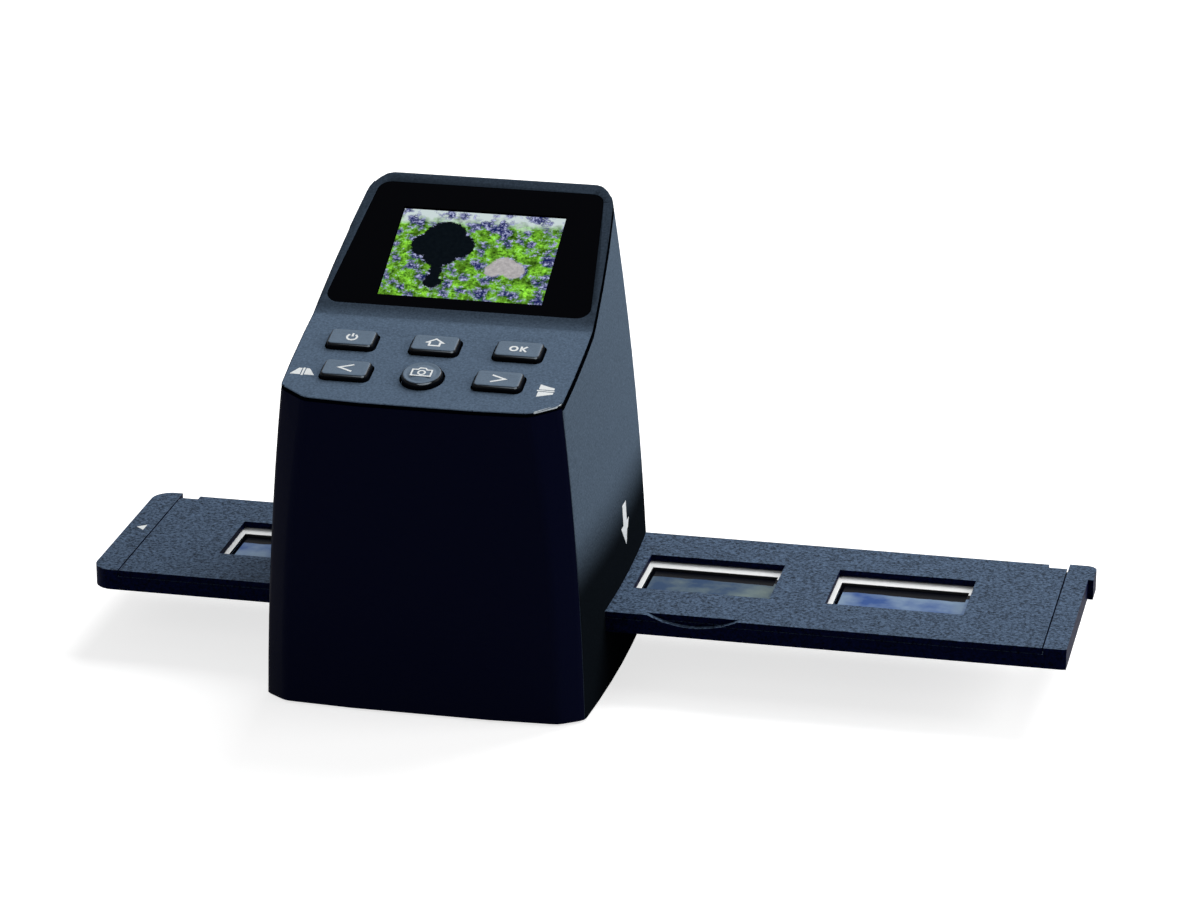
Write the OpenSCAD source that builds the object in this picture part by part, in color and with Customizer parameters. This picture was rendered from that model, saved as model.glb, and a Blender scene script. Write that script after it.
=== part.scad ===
// Desktop film and slide scanner with a sloping key deck, a screen above it,
// and a slide tray that runs through the housing from side to side.
// Millimetres, +Z up, front face towards -Y. The pieces are drawn about the housing's
// own axis, and centred() moves them all: the finished part's origin lies on the table,
// under the middle of its box with the tray at rest.

/* [Housing] */
// Widest width of the housing at its foot
housing_w = 97.8; // [92:0.2:110]
// How far the front face stands ahead of the housing's axis
housing_front = 48.9; // [46:0.1:56]
// Room between the tray's guide and the rear wall
rear_room = 2.4; // [1.5:0.1:6]
// Height of the key deck's front edge above the table
deck_front_h = 94.2; // [92:0.2:110]
// Depth of the key deck, seen from above
deck_run = 43; // [38:0.1:48]
// Slope of the key deck
deck_angle = 14.1; // [10:0.5:18]
// Slope of the screen face
screen_angle = 26.6; // [22:0.5:32]
// Wall thickness of the casings
wall = 2.2; // [1.8:0.1:3]
// Lean of the side walls at their foot, as mm inwards per mm of height
side_lean = 0.024; // [0:0.002:0.03]
// Radius of the side walls' curve, seen from the front
side_curve_r = 1100; // [900:1:2000]
// Radius of the side walls' bow, seen from above
side_bow_r = 600; // [420:1:900]
// Lean of the rear wall, as mm forwards per mm of height
rear_lean = 0.03; // [0:0.005:0.05]
// Radius of the two rear corners
rear_corner_r = 10; // [6:0.5:12]
// Radius of the housing's top rear edge
top_edge_r = 1.6; // [1:0.1:4]
// Half width of the front face between its two corner facets, at the foot
facet_inner = 40.3; // [36:0.5:42]
// Radius of the curve by which the facets grow wider towards the top
facet_curve_r = 568; // [500:1:2000]
// Depth of the corner facets, seen from above
facet_depth = 6.2; // [5:0.1:10]
// Bow radius of the front face, seen from above
front_bow_r = 550; // [400:1:2000]

/* [Deck and screen] */
// Thickness of the top bezel's outer plate
bezel_plate = 1.2; // [1:0.1:1.6]
// Thickness of the top bezel inside the walls
bezel_t = 2.2; // [2:0.1:3]
// Height of the shadow groove under the bezel's edge
groove_h = 0.8; // [0.4:0.1:1.2]
// Depth of the shadow groove
groove_d = 1; // [0.6:0.1:1.4]
// Half width of the screen glass at its lower edge
glass_low = 39.4; // [34:0.2:39.6]
// Half width of the screen glass at its upper edge
glass_high = 33.7; // [30:0.2:34.2]
// Distance of the glass's lower edge from the crease
glass_start = 5; // [4:0.2:7]
// Border of the bezel above the glass
glass_border = 6; // [5:0.2:9]
// Thickness of the screen glass
glass_t = 0.8; // [0.6:0.1:1]
// Corner radius of the screen glass
glass_r = 4; // [2:0.5:6]
// Width of the display's picture
lcd_w = 48.96; // [40:0.02:50]
// Height of the display's picture
lcd_h = 36.72; // [30:0.02:37]
// Distance of the picture's lower edge from the crease
lcd_start = 9.2; // [9:0.1:11]
// Border of the display module around its picture
lcd_border = 4; // [2:0.2:4]
// Thickness of the display module
lcd_t = 2.8; // [2:0.1:3.2]

/* [Keys] */
// Width of a rectangular key
key_w = 13.8; // [10:0.2:15]
// Depth of a rectangular key
key_d = 8.3; // [6:0.1:9]
// Corner radius of a rectangular key
key_r = 1.6; // [0.8:0.1:2.4]
// Height of the keys above the deck
key_rise = 1.7; // [1:0.1:2.4]
// Diameter of the round capture key
capture_d = 11.8; // [9:0.1:13]
// Clearance round each key in the deck
key_gap = 0.6; // [0.3:0.1:0.8]
// Travel of each key
key_travel = 0.6; // [0.3:0.1:0.6]
// Sideways place of the middle column of keys
key_column_x = -1.5; // [-2:0.1:2]
// Half spread of the upper row of keys
upper_spread = 24.4; // [22:0.1:25]
// Half spread of the lower row of keys
lower_spread = 22.1; // [21:0.1:25]
// Distance of the upper row from the crease, down the slope
upper_row = 13.8; // [12:0.1:15]
// Distance of the lower row from the crease, down the slope
lower_row = 29.5; // [27:0.1:30]

/* [Slide tray] */
// Length of the tray
tray_len = 290.4; // [280:0.2:300]
// Depth of the tray, front to back
tray_d = 63.4; // [62:0.2:64]
// Thickness of the tray
tray_t = 6.2; // [5.6:0.1:6.6]
// Height of the tray's underside above the table
tray_z = 18.2; // [17:0.2:24]
// Place of the tray's front edge
tray_front = -18; // [-20:0.2:-16]
// Thickness of the tray's hinged cover
cover_t = 1.8; // [1.5:0.1:2]
// Length of the raised block at each end of the tray
end_block = 8.2; // [6:0.2:10]
// How far the end blocks reach behind the cover
end_tab = 1.4; // [0.6:0.1:1.6]
// Distance of the two inner frames from the tray's middle
inner_frame = 34.6; // [30:0.1:36]
// Distance of the two outer frames from the tray's middle
outer_frame = 91.4; // [88:0.1:96]
// Width of a cover window
window_w = 40.4; // [38:0.1:42]
// Depth of a cover window
window_d = 26.5; // [24:0.1:28]
// How far the windows' middle lies behind the slides' middle
window_shift = 2.4; // [0:0.1:3]
// Side of a slide mount
mount_side = 50; // [49:0.1:50]
// Thickness of a slide mount
mount_t = 2; // [1.4:0.1:2]
// Width of the picture opening in a slide mount
aperture_w = 37.6; // [34:0.1:37.6]
// Depth of the picture opening in a slide mount
aperture_d = 22.6; // [22:0.1:24.4]
// Thickness of a slide's film
film_t = 0.2; // [0.1:0.05:0.3]
// Width of a thumb notch in the tray's front edge
notch_w = 26.5; // [20:0.5:30]
// Height of a thumb notch
notch_h = 3.1; // [2:0.1:4]
// Depth of a thumb notch
notch_d = 1.8; // [1:0.1:2.4]
// Radius of the tray's hinge pins
hinge_pin_r = 0.55; // [0.4:0.05:0.6]

/* [Inside] */
// Sideways place of the lens and the lamp
optical_x = 2.7; // [0:0.1:4]
// Room for the sensor, between the lens tower's top and the port board
port_room = 14.3; // [14:0.1:20]
// Wall thickness of the tower and the lamp box
tower_wall = 1.8; // [1.4:0.1:2.4]
// Outer radius of the lens barrel
barrel_r = 7; // [5:0.1:9]
// Thickness of the circuit boards
board_t = 1.6; // [1:0.1:2]
// Radius of the rubber feet
foot_r = 5; // [4:0.5:7]
// Height of the rubber feet below the base
foot_h = 0.8; // [0.6:0.1:2]

/* [Hidden] */
seam = 0.25;          // gap between two casings
fit_gap = 0.15;       // clearance of a piece that drops into its place
slide_gap = 0.3;      // clearance of the tray in its guide
screw_r = 1.1;        // shank radius of the small screws
pilot_r = 1.1;        // pilot hole that such a screw cuts into
boss_r = 3.2;         // outer radius of a screw boss
eps = 0.02;           // overlap where two shapes of one piece merge
far = 200;            // longer than the housing in any direction

// Slot for the tray, and how far its guide stands round it.
slot_low = tray_z - slide_gap;
slot_high = tray_z + tray_t + slide_gap;
slot_front = tray_front - slide_gap;
slot_rear = tray_front + tray_d + end_tab + slide_gap;
rail_front = 7.6;
rail_rear = 1.8;

base_z = foot_h;
base_t = wall;
front_y = -housing_front;
housing_rear = slot_rear + rail_rear + rear_room + wall;
crease_y = front_y + deck_run;
crease_z = deck_front_h + deck_run * tan(deck_angle);
deck_len = deck_run / cos(deck_angle);

// Outline of the housing. half_width() is where a side wall stands at depth y and
// height z; rear_y() is where the rear wall stands.
bow_y = 3.3;
function half_width(y, z) = housing_w / 2 - side_lean * z
    - z * z / (2 * side_curve_r) - pow(y - bow_y, 2) / (2 * side_bow_r);
function rear_y(z) = housing_rear - rear_lean * z;
function facet_x(z) = facet_inner - z * z / (2 * facet_curve_r);
function bowed_front(x) = front_y + x * x / (2 * front_bow_r);
function unit(v) = v / norm(v);

// A corner p between a and b, cut back by d and rounded with one middle point.
function soft_corner(a, p, b, d) = let (
    from = p + d * unit(a - p),
    to = p + d * unit(b - p)
) [from, p / 2 + (from + to) / 4, to];

side_steps = 6;
corner_steps = 7;
edge_soft = 1.6;      // how far the facets' edges are rounded back

// The right half of the housing's outline at height z, from the middle of the front
// to the middle of the rear, drawn in by the inset.
function half_ring(z, inset) = let (
    inner = [facet_x(z) - 0.45 * inset, bowed_front(facet_x(z)) + inset],
    outer_y = front_y + facet_depth,
    outer = [half_width(outer_y, z) - inset, outer_y + 0.3 * inset],
    rear = rear_y(z) - inset,
    r = rear_corner_r - inset,
    corner_y = rear - r,
    corner_x = half_width(corner_y, z) - inset - r,
    side = [for (i = [1:side_steps - 1])
        let (y = outer[1] + (corner_y - outer[1]) * i / side_steps)
        [half_width(y, z) - inset, y]],
    arc = [for (i = [0:corner_steps])
        [corner_x + r * cos(90 * i / corner_steps),
         corner_y + r * sin(90 * i / corner_steps)]],
    middle = [inner[0] / 2, bowed_front(inner[0] / 2) + inset]
) concat(
    [middle],
    soft_corner(middle, inner, outer, edge_soft),
    soft_corner(inner, outer, side[0], edge_soft),
    side, arc
);

function mirrored(points) = [for (i = [len(points) - 1:-1:0]) [-points[i][0], points[i][1]]];
function ring(z, inset) = concat(half_ring(z, inset), mirrored(half_ring(z, inset)));

// The housing's form as one closed solid of stacked outlines, before its top is cut.
form_levels = 12;
form_top = crease_z + 36;
module form(inset = 0) {
    levels = [for (k = [0:form_levels])
        base_z + (form_top - base_z) * k / form_levels];
    n = len(ring(0, inset));
    points = [for (z = levels) for (p = ring(z, inset)) [p[0], p[1], z]];
    sides = [for (k = [0:form_levels - 1]) for (i = [0:n - 1])
        let (j = (i + 1) % n)
        each [[k * n + i, k * n + n + i, k * n + j],
              [k * n + j, k * n + n + i, k * n + n + j]]];
    bottom = [[for (i = [0:n - 1]) i]];
    top = [[for (i = [n - 1:-1:0]) form_levels * n + i]];
    polyhedron(concat(points), concat(bottom, sides, top), convexity = 4);
}

// The region under the deck and the screen face, lowered by depth along their normals.
// Its top rear edge is rounded.
function deck_z(y, depth) = deck_front_h + (y - front_y) * tan(deck_angle) - depth / cos(deck_angle);
function screen_z(y, depth) = crease_z + (y - crease_y) * tan(screen_angle) - depth / cos(screen_angle);
function crease_at(depth) = crease_y
    + depth * (1 / cos(screen_angle) - 1 / cos(deck_angle)) / (tan(screen_angle) - tan(deck_angle));
rear_tilt = atan(rear_lean);
// Length of the screen face up its slope, to where it would meet the rear wall.
screen_top_y = (housing_rear - rear_lean * screen_z(0, 0)) / (1 + rear_lean * tan(screen_angle));
screen_len = (screen_top_y - crease_y) / cos(screen_angle);
glass_len = screen_len - glass_start - glass_border;
// Centre of the rounded top rear edge: top_edge_r inside the screen face and the rear wall.
edge_y = let (s = tan(screen_angle), r = top_edge_r,
    z0 = crease_z - crease_y * s - r / cos(screen_angle))
    (housing_rear - r / cos(rear_tilt) - rear_lean * z0) / (1 + rear_lean * s);
edge_z = screen_z(edge_y, top_edge_r);
top_y = edge_y + top_edge_r * cos(rear_tilt);
edge_steps = 8;
function top_outline(depth) = concat(
    [[-far, -far], [-far, deck_z(-far, depth)], [crease_at(depth), deck_z(crease_at(depth), depth)]],
    depth > 0 ? [[far, screen_z(far, depth)]] :
        [for (i = [0:edge_steps])
            let (a = 90 + screen_angle - (90 + screen_angle - rear_tilt) * i / edge_steps)
            [edge_y + top_edge_r * cos(a), edge_z + top_edge_r * sin(a)]],
    depth > 0 ? [[far, -far]] : [[far, edge_z - far], [far, -far]]
);
module under_top(depth) {
    rotate([90, 0, 90])
        translate([0, 0, -far / 2])
            linear_extrude(far) polygon(top_outline(depth));
}

// Moves the pieces from the housing's axis to the finished part's origin.
front_most = bowed_front(facet_x(base_z) / 2);
module centred() {
    translate([-tray_rest, -(front_most + rear_y(base_z)) / 2, 0]) children();
}

// Places in the two sloping faces: x sideways, y up the slope, z out of the face.
module on_deck() { translate([0, front_y, deck_front_h]) rotate([deck_angle, 0, 0]) children(); }
module on_screen() { translate([0, crease_y, crease_z]) rotate([screen_angle, 0, 0]) children(); }
module both_sides() { for (s = [-1, 1]) scale([s, 1, 1]) children(); }

// A box by its corner and size, and a plate with rounded corners about its middle.
module block(x, y, z, w, d, h) { translate([x, y, z]) cube([w, d, h]); }
function rounded(w, d, r, n = 5) = [for (q = [0:3]) for (i = [0:n])
    let (a = 90 * (q + i / n), sx = (q == 0 || q == 3) ? 1 : -1, sy = q < 2 ? 1 : -1)
    [sx * (w / 2 - r) + r * cos(a), sy * (d / 2 - r) + r * sin(a)]];
module plate(w, d, h, r) { linear_extrude(h) polygon(rounded(w, d, r)); }

// Key places in the deck.
key_y_upper = deck_len - upper_row;
key_y_lower = deck_len - lower_row;
key_flange = 1.1;      // how far a key's flange reaches under the deck
key_flange_t = 0.8;
key_rest_gap = 0.1;    // between the flange and the deck at rest
switch_gap = 0.1;      // left between stem and switch when the key is down
stem_end = 2.2;        // length of the stem below the flange
switch_top = bezel_t + key_rest_gap + key_flange_t + stem_end + key_travel + switch_gap;
switch_h = 2.9;
key_board_depth = switch_top + switch_h;
key_board_t = 1.2;

// Tray places.
tray_rest = optical_x + inner_frame;
tray_rear = tray_front + tray_d;
tray_top = tray_z + tray_t;
window_y = tray_front + 32.8;
frame_y = window_y - window_shift;
frames = [-outer_frame, -inner_frame, inner_frame, outer_frame];
cover_half = tray_len / 2 - end_block;
cover_gap = 0.4;       // dark line between the cover and an end block
base_top = tray_top - cover_t - 0.2;
pocket_z = base_top - mount_t - 0.2;
corner_left = 6;       // corner radius of the left end block
corner_right = 3;      // and of the right one, which is cut back in front of its tab
end_cut = [1.6, 11];   // how deep that cut is, and where it stops in front of the rear
hinge_inset = 3.2;     // hinge axis in front of the cover's rear edge
hinge_y = tray_rear - hinge_inset;
hinge_z = tray_top - cover_t / 2;
base_rear = hinge_y - 0.6;
rear_notch_w = 5.6;
rear_notch_d = hinge_inset - hinge_pin_r - 0.25;
detent_y = tray_front + 5;
detent_ball_r = 1.5;
detent_sink = 0.35;

// Guide that the tray slides in, and the way through it for the light.
guide_floor = 2;
guide_low = slot_low - guide_floor;
guide_half = 39;
light_w = aperture_w + 7;
light_d = aperture_d + 8;

// Screw places, for x on the right side.
case_rear = [40.2, housing_rear - 15.5];
case_front = [29.5, front_y + 7];
leg_rear = [28, slot_rear - 6.1];
leg_front = [28, slot_front - rail_front / 2];
post_h = 11;

// Tower and lens, and the lamp's board and pad under them.
tower_low = slot_high;
tower_w = light_w + 2 * tower_wall;
tower_d = light_d + 2 * tower_wall;
lamp_board_w = tower_w + 8.4;
lamp_board_d = tower_d + 4.4;
lamp_pad = 0.6;
lamp_pad_inset = 2;
port_z = crease_z - 5;
tower_top = port_z - port_room;
tower_h = tower_top - tower_low;
tower_flange = 1.6;
barrel_len = 16;
barrel_drop = 12;      // how far the barrel reaches into the tower
sensor_w = 30;
sensor_d = 26;
sensor_z = tower_top + 6.4;
lens_r = barrel_r - 1.6;

// Boards under the screen and behind the ports.
main_board_depth = glass_t + 0.1 + lcd_t + 0.1;
main_y = glass_start + 2;
main_d = glass_len - 6.4;
main_boss = [lcd_w / 2 + lcd_border + 2.5, 5, main_d - 4];
main_w = 2 * main_boss[0] + 5;
port_rear = rear_y(port_z) - wall - 0.4;
port_front = port_rear - 27.4;
port_half = half_width(port_rear, port_z) - wall - 1.9;
port_corner = rear_corner_r - 4.5;
port_screws = [for (y = [7.6, 17.6]) [port_half - 2.6, port_front + y]];
usb_w = 9;
usb_h = 3.4;
usb_x = -18;
card_w = 28;
card_h = 3;
card_x = 14;

matte_black = "#4b5a6a";
gloss_black = "#05081a";
board_green = "#1f5a3a";

// A self-tapping screw with its head's underside at z = 0 and its shank upwards.
module screw(shank, head_r = 2.3, head_h = 1.3) {
    cylinder(r = screw_r, h = shank, $fn = 24);
    translate([0, 0, -head_h])
        difference() {
            cylinder(r = head_r, h = head_h, $fn = 32);
            for (a = [0, 90]) rotate([0, 0, a])
                translate([-1.3, -0.3, -eps]) cube([2.6, 0.6, 0.7]);
        }
}

// ---- Casings ----

head_sink = 1.4;       // depth of the screw heads' recesses in the base
module screw_recess(place) {
    translate([place[0], place[1], base_z - eps]) {
        cylinder(r = 2.8, h = head_sink + eps, $fn = 32);
        cylinder(r = screw_r + 0.2, h = base_t + 4, $fn = 32);
    }
}

foot_inset = 12;
foot_places = [
    for (s = [-1, 1]) for (y = [front_y + foot_inset + 2, housing_rear - foot_inset - 15])
    [s * (half_width(y, 0) - foot_inset), y]
];
foot_seat = 0.6;

module base_plate() centred() color(gloss_black) difference() {
    union() {
        translate([0, 0, base_z]) linear_extrude(base_t) polygon(ring(base_z, wall + fit_gap));
        block(optical_x - lamp_board_w / 2 + lamp_pad_inset, frame_y - lamp_board_d / 2 + lamp_pad_inset,
            base_z + base_t - eps, lamp_board_w - 2 * lamp_pad_inset,
            lamp_board_d - 2 * lamp_pad_inset, lamp_pad + eps);
    }
    for (p = foot_places)
        translate([p[0], p[1], base_z - eps]) cylinder(r = foot_r + 0.1, h = foot_seat + eps, $fn = 48);
    both_sides() for (p = [case_rear, case_front, leg_rear, leg_front]) screw_recess(p);
}

module rubber_feet() centred() color("#2a2c30")
    for (p = foot_places)
        translate([p[0], p[1], 0]) cylinder(r = foot_r, h = foot_h + foot_seat, $fn = 48);

module case_screws() centred() color("silver")
    both_sides() for (p = [case_rear, case_front])
        translate([p[0], p[1], base_z + head_sink]) screw(8);

module chassis_screws() centred() color("silver")
    both_sides() for (p = [leg_rear, leg_front])
        translate([p[0], p[1], base_z + head_sink]) screw(8);

// A screw boss on the base with a web that ties it to the wall behind it.
module post(place, web_w, web_d, web_x, web_y) {
    translate([place[0], place[1], base_z + base_t + 0.05])
        cylinder(r = boss_r, h = post_h, $fn = 32);
    block(web_x, web_y, base_z + base_t + 0.05, web_w, web_d, post_h);
}
module post_hole(place) {
    translate([place[0], place[1], base_z]) cylinder(r = pilot_r, h = post_h - 1, $fn = 24);
}

// The wall of the housing between its outer form and its hollow.
module casing() difference() {
    union() {
        intersection() { form(); under_top(bezel_plate + groove_h); }
        intersection() { form(groove_d); under_top(bezel_plate); }
    }
    form(wall);
}

split_y = front_y + facet_depth + 0.4;

module body_shell() centred() color(matte_black) difference() {
    union() {
        intersection() {
            casing();
            block(-far, split_y + seam, 0, 2 * far, far, far);
        }
        both_sides() intersection() {
            form(wall - 0.6);
            union() {
                post(case_rear, 6, 2, case_rear[0], case_rear[1] - 1);
                block(port_half - 5.6, port_front + 4, port_z - 3, far, 18, 3);
            }
        }
    }
    block(-far / 2, slot_front, slot_low, far, slot_rear - slot_front, slot_high - slot_low);
    both_sides() {
        post_hole(case_rear);
        for (p = port_screws) translate([p[0], p[1], port_z - 4]) cylinder(r = 0.9, h = 5, $fn = 24);
    }
    block(usb_x - usb_w / 2 - 0.4, port_rear, port_z + board_t - 0.4, usb_w + 0.8, far, usb_h + 0.8);
    block(card_x - card_w / 2 + 0.8, port_rear, port_z + board_t, card_w - 1.6, far, card_h + 0.4);
}

module front_panel() centred() color(gloss_black) difference() {
    union() {
        intersection() {
            difference() {
                intersection() { form(); under_top(bezel_plate); }
                form(wall);
            }
            block(-far, -far, 0, 2 * far, far + split_y, far);
        }
        both_sides() intersection() {
            form(wall - 0.6);
            post(case_front, 2, 6, case_front[0] - 1, case_front[1] - 6);
        }
    }
    both_sides() post_hole(case_front);
}

// ---- Deck and screen ----

function glass_outline(grow) = let (
    low = [glass_low + grow, glass_start - grow],
    high = [glass_high + grow, glass_start + glass_len + grow],
    r = glass_r
) concat(
    round_corner([-low[0], low[1]], low, high, r),
    round_corner(low, high, [-high[0], high[1]], r),
    round_corner(high, [-high[0], high[1]], [-low[0], low[1]], r),
    round_corner([-high[0], high[1]], [-low[0], low[1]], low, r)
);
// The arc of radius r that rounds the corner p between a and b.
function round_corner(a, p, b, r, n = 6) = let (
    u = unit(a - p), v = unit(b - p),
    half = acos(u * v) / 2,
    centre = p + unit(u + v) * r / sin(half),
    start = p + u * r / tan(half) - centre,
    end = p + v * r / tan(half) - centre,
    a0 = atan2(start[1], start[0]),
    turn = ((atan2(end[1], end[0]) - a0) % 360 + 540) % 360 - 180
) [for (i = [0:n]) centre + r * [cos(a0 + turn * i / n), sin(a0 + turn * i / n)]];

module key_hole(x, y) {
    translate([x, y, -10]) linear_extrude(20)
        polygon(rounded(key_w + 2 * key_gap, key_d + 2 * key_gap, key_r + key_gap));
}
key_places = [
    [key_column_x - upper_spread, key_y_upper], [key_column_x, key_y_upper],
    [key_column_x + upper_spread, key_y_upper], [key_column_x - lower_spread, key_y_lower],
    [key_column_x + lower_spread, key_y_lower]
];
capture_place = [key_column_x, key_y_lower];
deck_bosses = [[34.4, 11.5], [34.4, deck_len - 4.5]];
key_board_y = 9;
key_board_d = deck_len - 2 - key_board_y;
key_board_half = 36;
deck_boss_r = 2.2;

module top_bezel() centred() color(matte_black) difference() {
    union() {
        intersection() {
            form();
            difference() { under_top(0); under_top(bezel_plate); }
        }
        intersection() {
            form(wall + fit_gap);
            difference() { under_top(bezel_plate - eps); under_top(bezel_t); }
        }
        on_deck() both_sides() for (p = deck_bosses)
            translate([p[0], p[1], -key_board_depth])
                cylinder(r = deck_boss_r, h = key_board_depth - 1, $fn = 32);
        on_screen() both_sides() for (i = [1, 2])
            translate([main_boss[0], main_y + main_boss[i], -main_board_depth])
                cylinder(r = 2, h = main_board_depth - 1.4, $fn = 32);
    }
    on_screen() {
        translate([0, 0, -glass_t - 0.05]) linear_extrude(10) polygon(glass_outline(fit_gap));
        block(-lcd_w / 2 - lcd_border - fit_gap, lcd_start - lcd_border - fit_gap, -6,
            lcd_w + 2 * lcd_border + 2 * fit_gap, lcd_h + 2 * lcd_border + 2 * fit_gap, 10);
        both_sides() for (i = [1, 2])
            translate([main_boss[0], main_y + main_boss[i], -main_board_depth - 1])
                cylinder(r = 0.8, h = 3, $fn = 24);
    }
    on_deck() {
        for (p = key_places) key_hole(p[0], p[1]);
        translate([capture_place[0], capture_place[1], -10])
            cylinder(r = capture_d / 2 + key_gap, h = 20, $fn = 64);
        both_sides() for (p = deck_bosses)
            translate([p[0], p[1], -key_board_depth - 1]) cylinder(r = 0.9, h = 7, $fn = 24);
    }
}

module screen_glass() centred() color("#02030a")
    on_screen() translate([0, 0, -glass_t]) linear_extrude(glass_t) polygon(glass_outline(0));

module display_module() centred() color("#6d7f86") on_screen()
    block(-lcd_w / 2 - lcd_border, lcd_start - lcd_border, -glass_t - 0.1 - lcd_t,
        lcd_w + 2 * lcd_border, lcd_h + 2 * lcd_border, lcd_t);

module main_board() centred() color(board_green) on_screen() difference() {
    block(-main_w / 2, main_y, -main_board_depth - board_t, main_w, main_d, board_t);
    both_sides() for (i = [1, 2])
        translate([main_boss[0], main_y + main_boss[i], -main_board_depth - board_t - 1])
            cylinder(r = screw_r + 0.1, h = board_t + 2, $fn = 24);
}

module main_board_chips() centred() color("#15171a") on_screen()
    translate([0, 0, -main_board_depth - board_t]) {
        block(-9, main_y + 14, -1.4, 16, 16, 1.4);
        block(13, main_y + 16, -1.2, 12, 9, 1.2);
        block(-24, main_y + 18, -1.1, 9, 11, 1.1);
        block(-20, main_y + 34, -2.4, 12, 7, 2.4);
        block(6, main_y + 34, -1.8, 9, 6, 1.8);
    }

module main_board_screws() centred() color("silver") on_screen()
    both_sides() for (i = [1, 2])
        translate([main_boss[0], main_y + main_boss[i], -main_board_depth - board_t])
            small_screw(3.2);

// A small screw with its head's top at z = 0, below which the head lies.
module small_screw(shank) {
    cylinder(r = 0.8, h = shank, $fn = 24);
    translate([0, 0, -0.9]) cylinder(r = 1.6, h = 0.9, $fn = 32);
}

// ---- Keys ----

module key_stem() translate([0, 0, -bezel_t - key_rest_gap - key_flange_t - stem_end])
    cylinder(r = 1.6, h = stem_end + key_flange_t, $fn = 32);

key_crown = 0.5;       // height over which a key's top edge draws in
module rect_key(place) on_deck() translate([place[0], place[1], 0]) {
    low = -bezel_t - key_rest_gap - key_flange_t;
    translate([0, 0, low + key_flange_t - eps])
        plate(key_w, key_d, key_rise - key_crown - low - key_flange_t + eps, key_r);
    translate([0, 0, key_rise - key_crown - eps])
        plate(key_w - 0.5, key_d - 0.5, key_crown * 0.6 + eps, key_r - 0.25);
    translate([0, 0, key_rise - key_crown * 0.4 - eps])
        plate(key_w - 1.2, key_d - 1.2, key_crown * 0.4 + eps, key_r - 0.6);
    grow = 2 * (key_gap + key_flange);
    translate([0, 0, low]) plate(key_w + grow, key_d + grow, key_flange_t, key_r);
    key_stem();
}

module power_key() centred() color(matte_black) rect_key(key_places[0]);
module home_key() centred() color(matte_black) rect_key(key_places[1]);
module ok_key() centred() color(matte_black) rect_key(key_places[2]);
module left_key() centred() color(matte_black) rect_key(key_places[3]);
module right_key() centred() color(matte_black) rect_key(key_places[4]);

module capture_key() centred() color(matte_black) on_deck()
    translate([capture_place[0], capture_place[1], 0]) {
        low = -bezel_t - key_rest_gap - key_flange_t;
        r = capture_d / 2;
        rotate_extrude($fn = 64) polygon([
            [0, low], [r + key_gap + key_flange, low],
            [r + key_gap + key_flange, low + key_flange_t], [r, low + key_flange_t],
            [r, key_rise - 0.9], [r - 0.25, key_rise - 0.4], [r - 0.8, key_rise - 0.1],
            [r - 1.8, key_rise + 0.1], [r - 3.6, key_rise + 0.25], [0, key_rise + 0.3]
        ]);
        key_stem();
    }

module key_board() centred() color(board_green) on_deck() difference() {
    block(-key_board_half, key_board_y, -key_board_depth - key_board_t,
        2 * key_board_half, key_board_d, key_board_t);
    both_sides() for (p = deck_bosses)
        translate([p[0], p[1], -key_board_depth - key_board_t - 1])
            cylinder(r = screw_r, h = key_board_t + 2, $fn = 24);
}

switch_body = 6;
module key_switches() centred() on_deck()
    for (p = concat(key_places, [capture_place])) translate([p[0], p[1], -key_board_depth]) {
        color("#2b2d30") translate([-switch_body / 2, -switch_body / 2, 0])
            cube([switch_body, switch_body, switch_h - 0.7]);
        color("#2b2d30") cylinder(r = 1.5, h = switch_h, $fn = 32);
    }

module key_board_screws() centred() color("silver") on_deck()
    both_sides() for (p = deck_bosses)
        translate([p[0], p[1], -key_board_depth - key_board_t]) small_screw(5);

// ---- Ports ----

module port_board() centred() color(board_green) difference() {
    translate([0, 0, port_z]) linear_extrude(board_t) polygon([
        [-port_half, port_front], [port_half, port_front],
        [port_half, port_rear - port_corner], [port_half - port_corner, port_rear],
        [port_corner - port_half, port_rear], [-port_half, port_rear - port_corner]
    ]);
    both_sides() for (p = port_screws)
        translate([p[0], p[1], port_z - 1]) cylinder(r = screw_r, h = board_t + 2, $fn = 24);
}

module port_board_screws() centred() color("silver")
    both_sides() for (p = port_screws)
        translate([p[0], p[1], port_z + board_t]) mirror([0, 0, 1]) small_screw(4);

usb_len = 7;
module usb_port() centred() color("silver")
    translate([usb_x, rear_y(port_z) - 0.2, port_z + board_t]) difference() {
        block(-usb_w / 2, -usb_len, 0, usb_w, usb_len, usb_h);
        block(-usb_w / 2 + 0.4, -usb_len + 1, 0.4, usb_w - 0.8, usb_len, usb_h - 0.8);
    }

card_len = 26;
module card_socket() centred() color("silver")
    translate([card_x, port_rear, port_z + board_t]) difference() {
        block(-card_w / 2, -card_len, 0, card_w, card_len, card_h);
        block(-card_w / 2 + 1.4, -card_len + 2, 0.4, card_w - 2.8, card_len, card_h - 0.8);
    }

// ---- Tray guide and lamp ----

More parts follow.
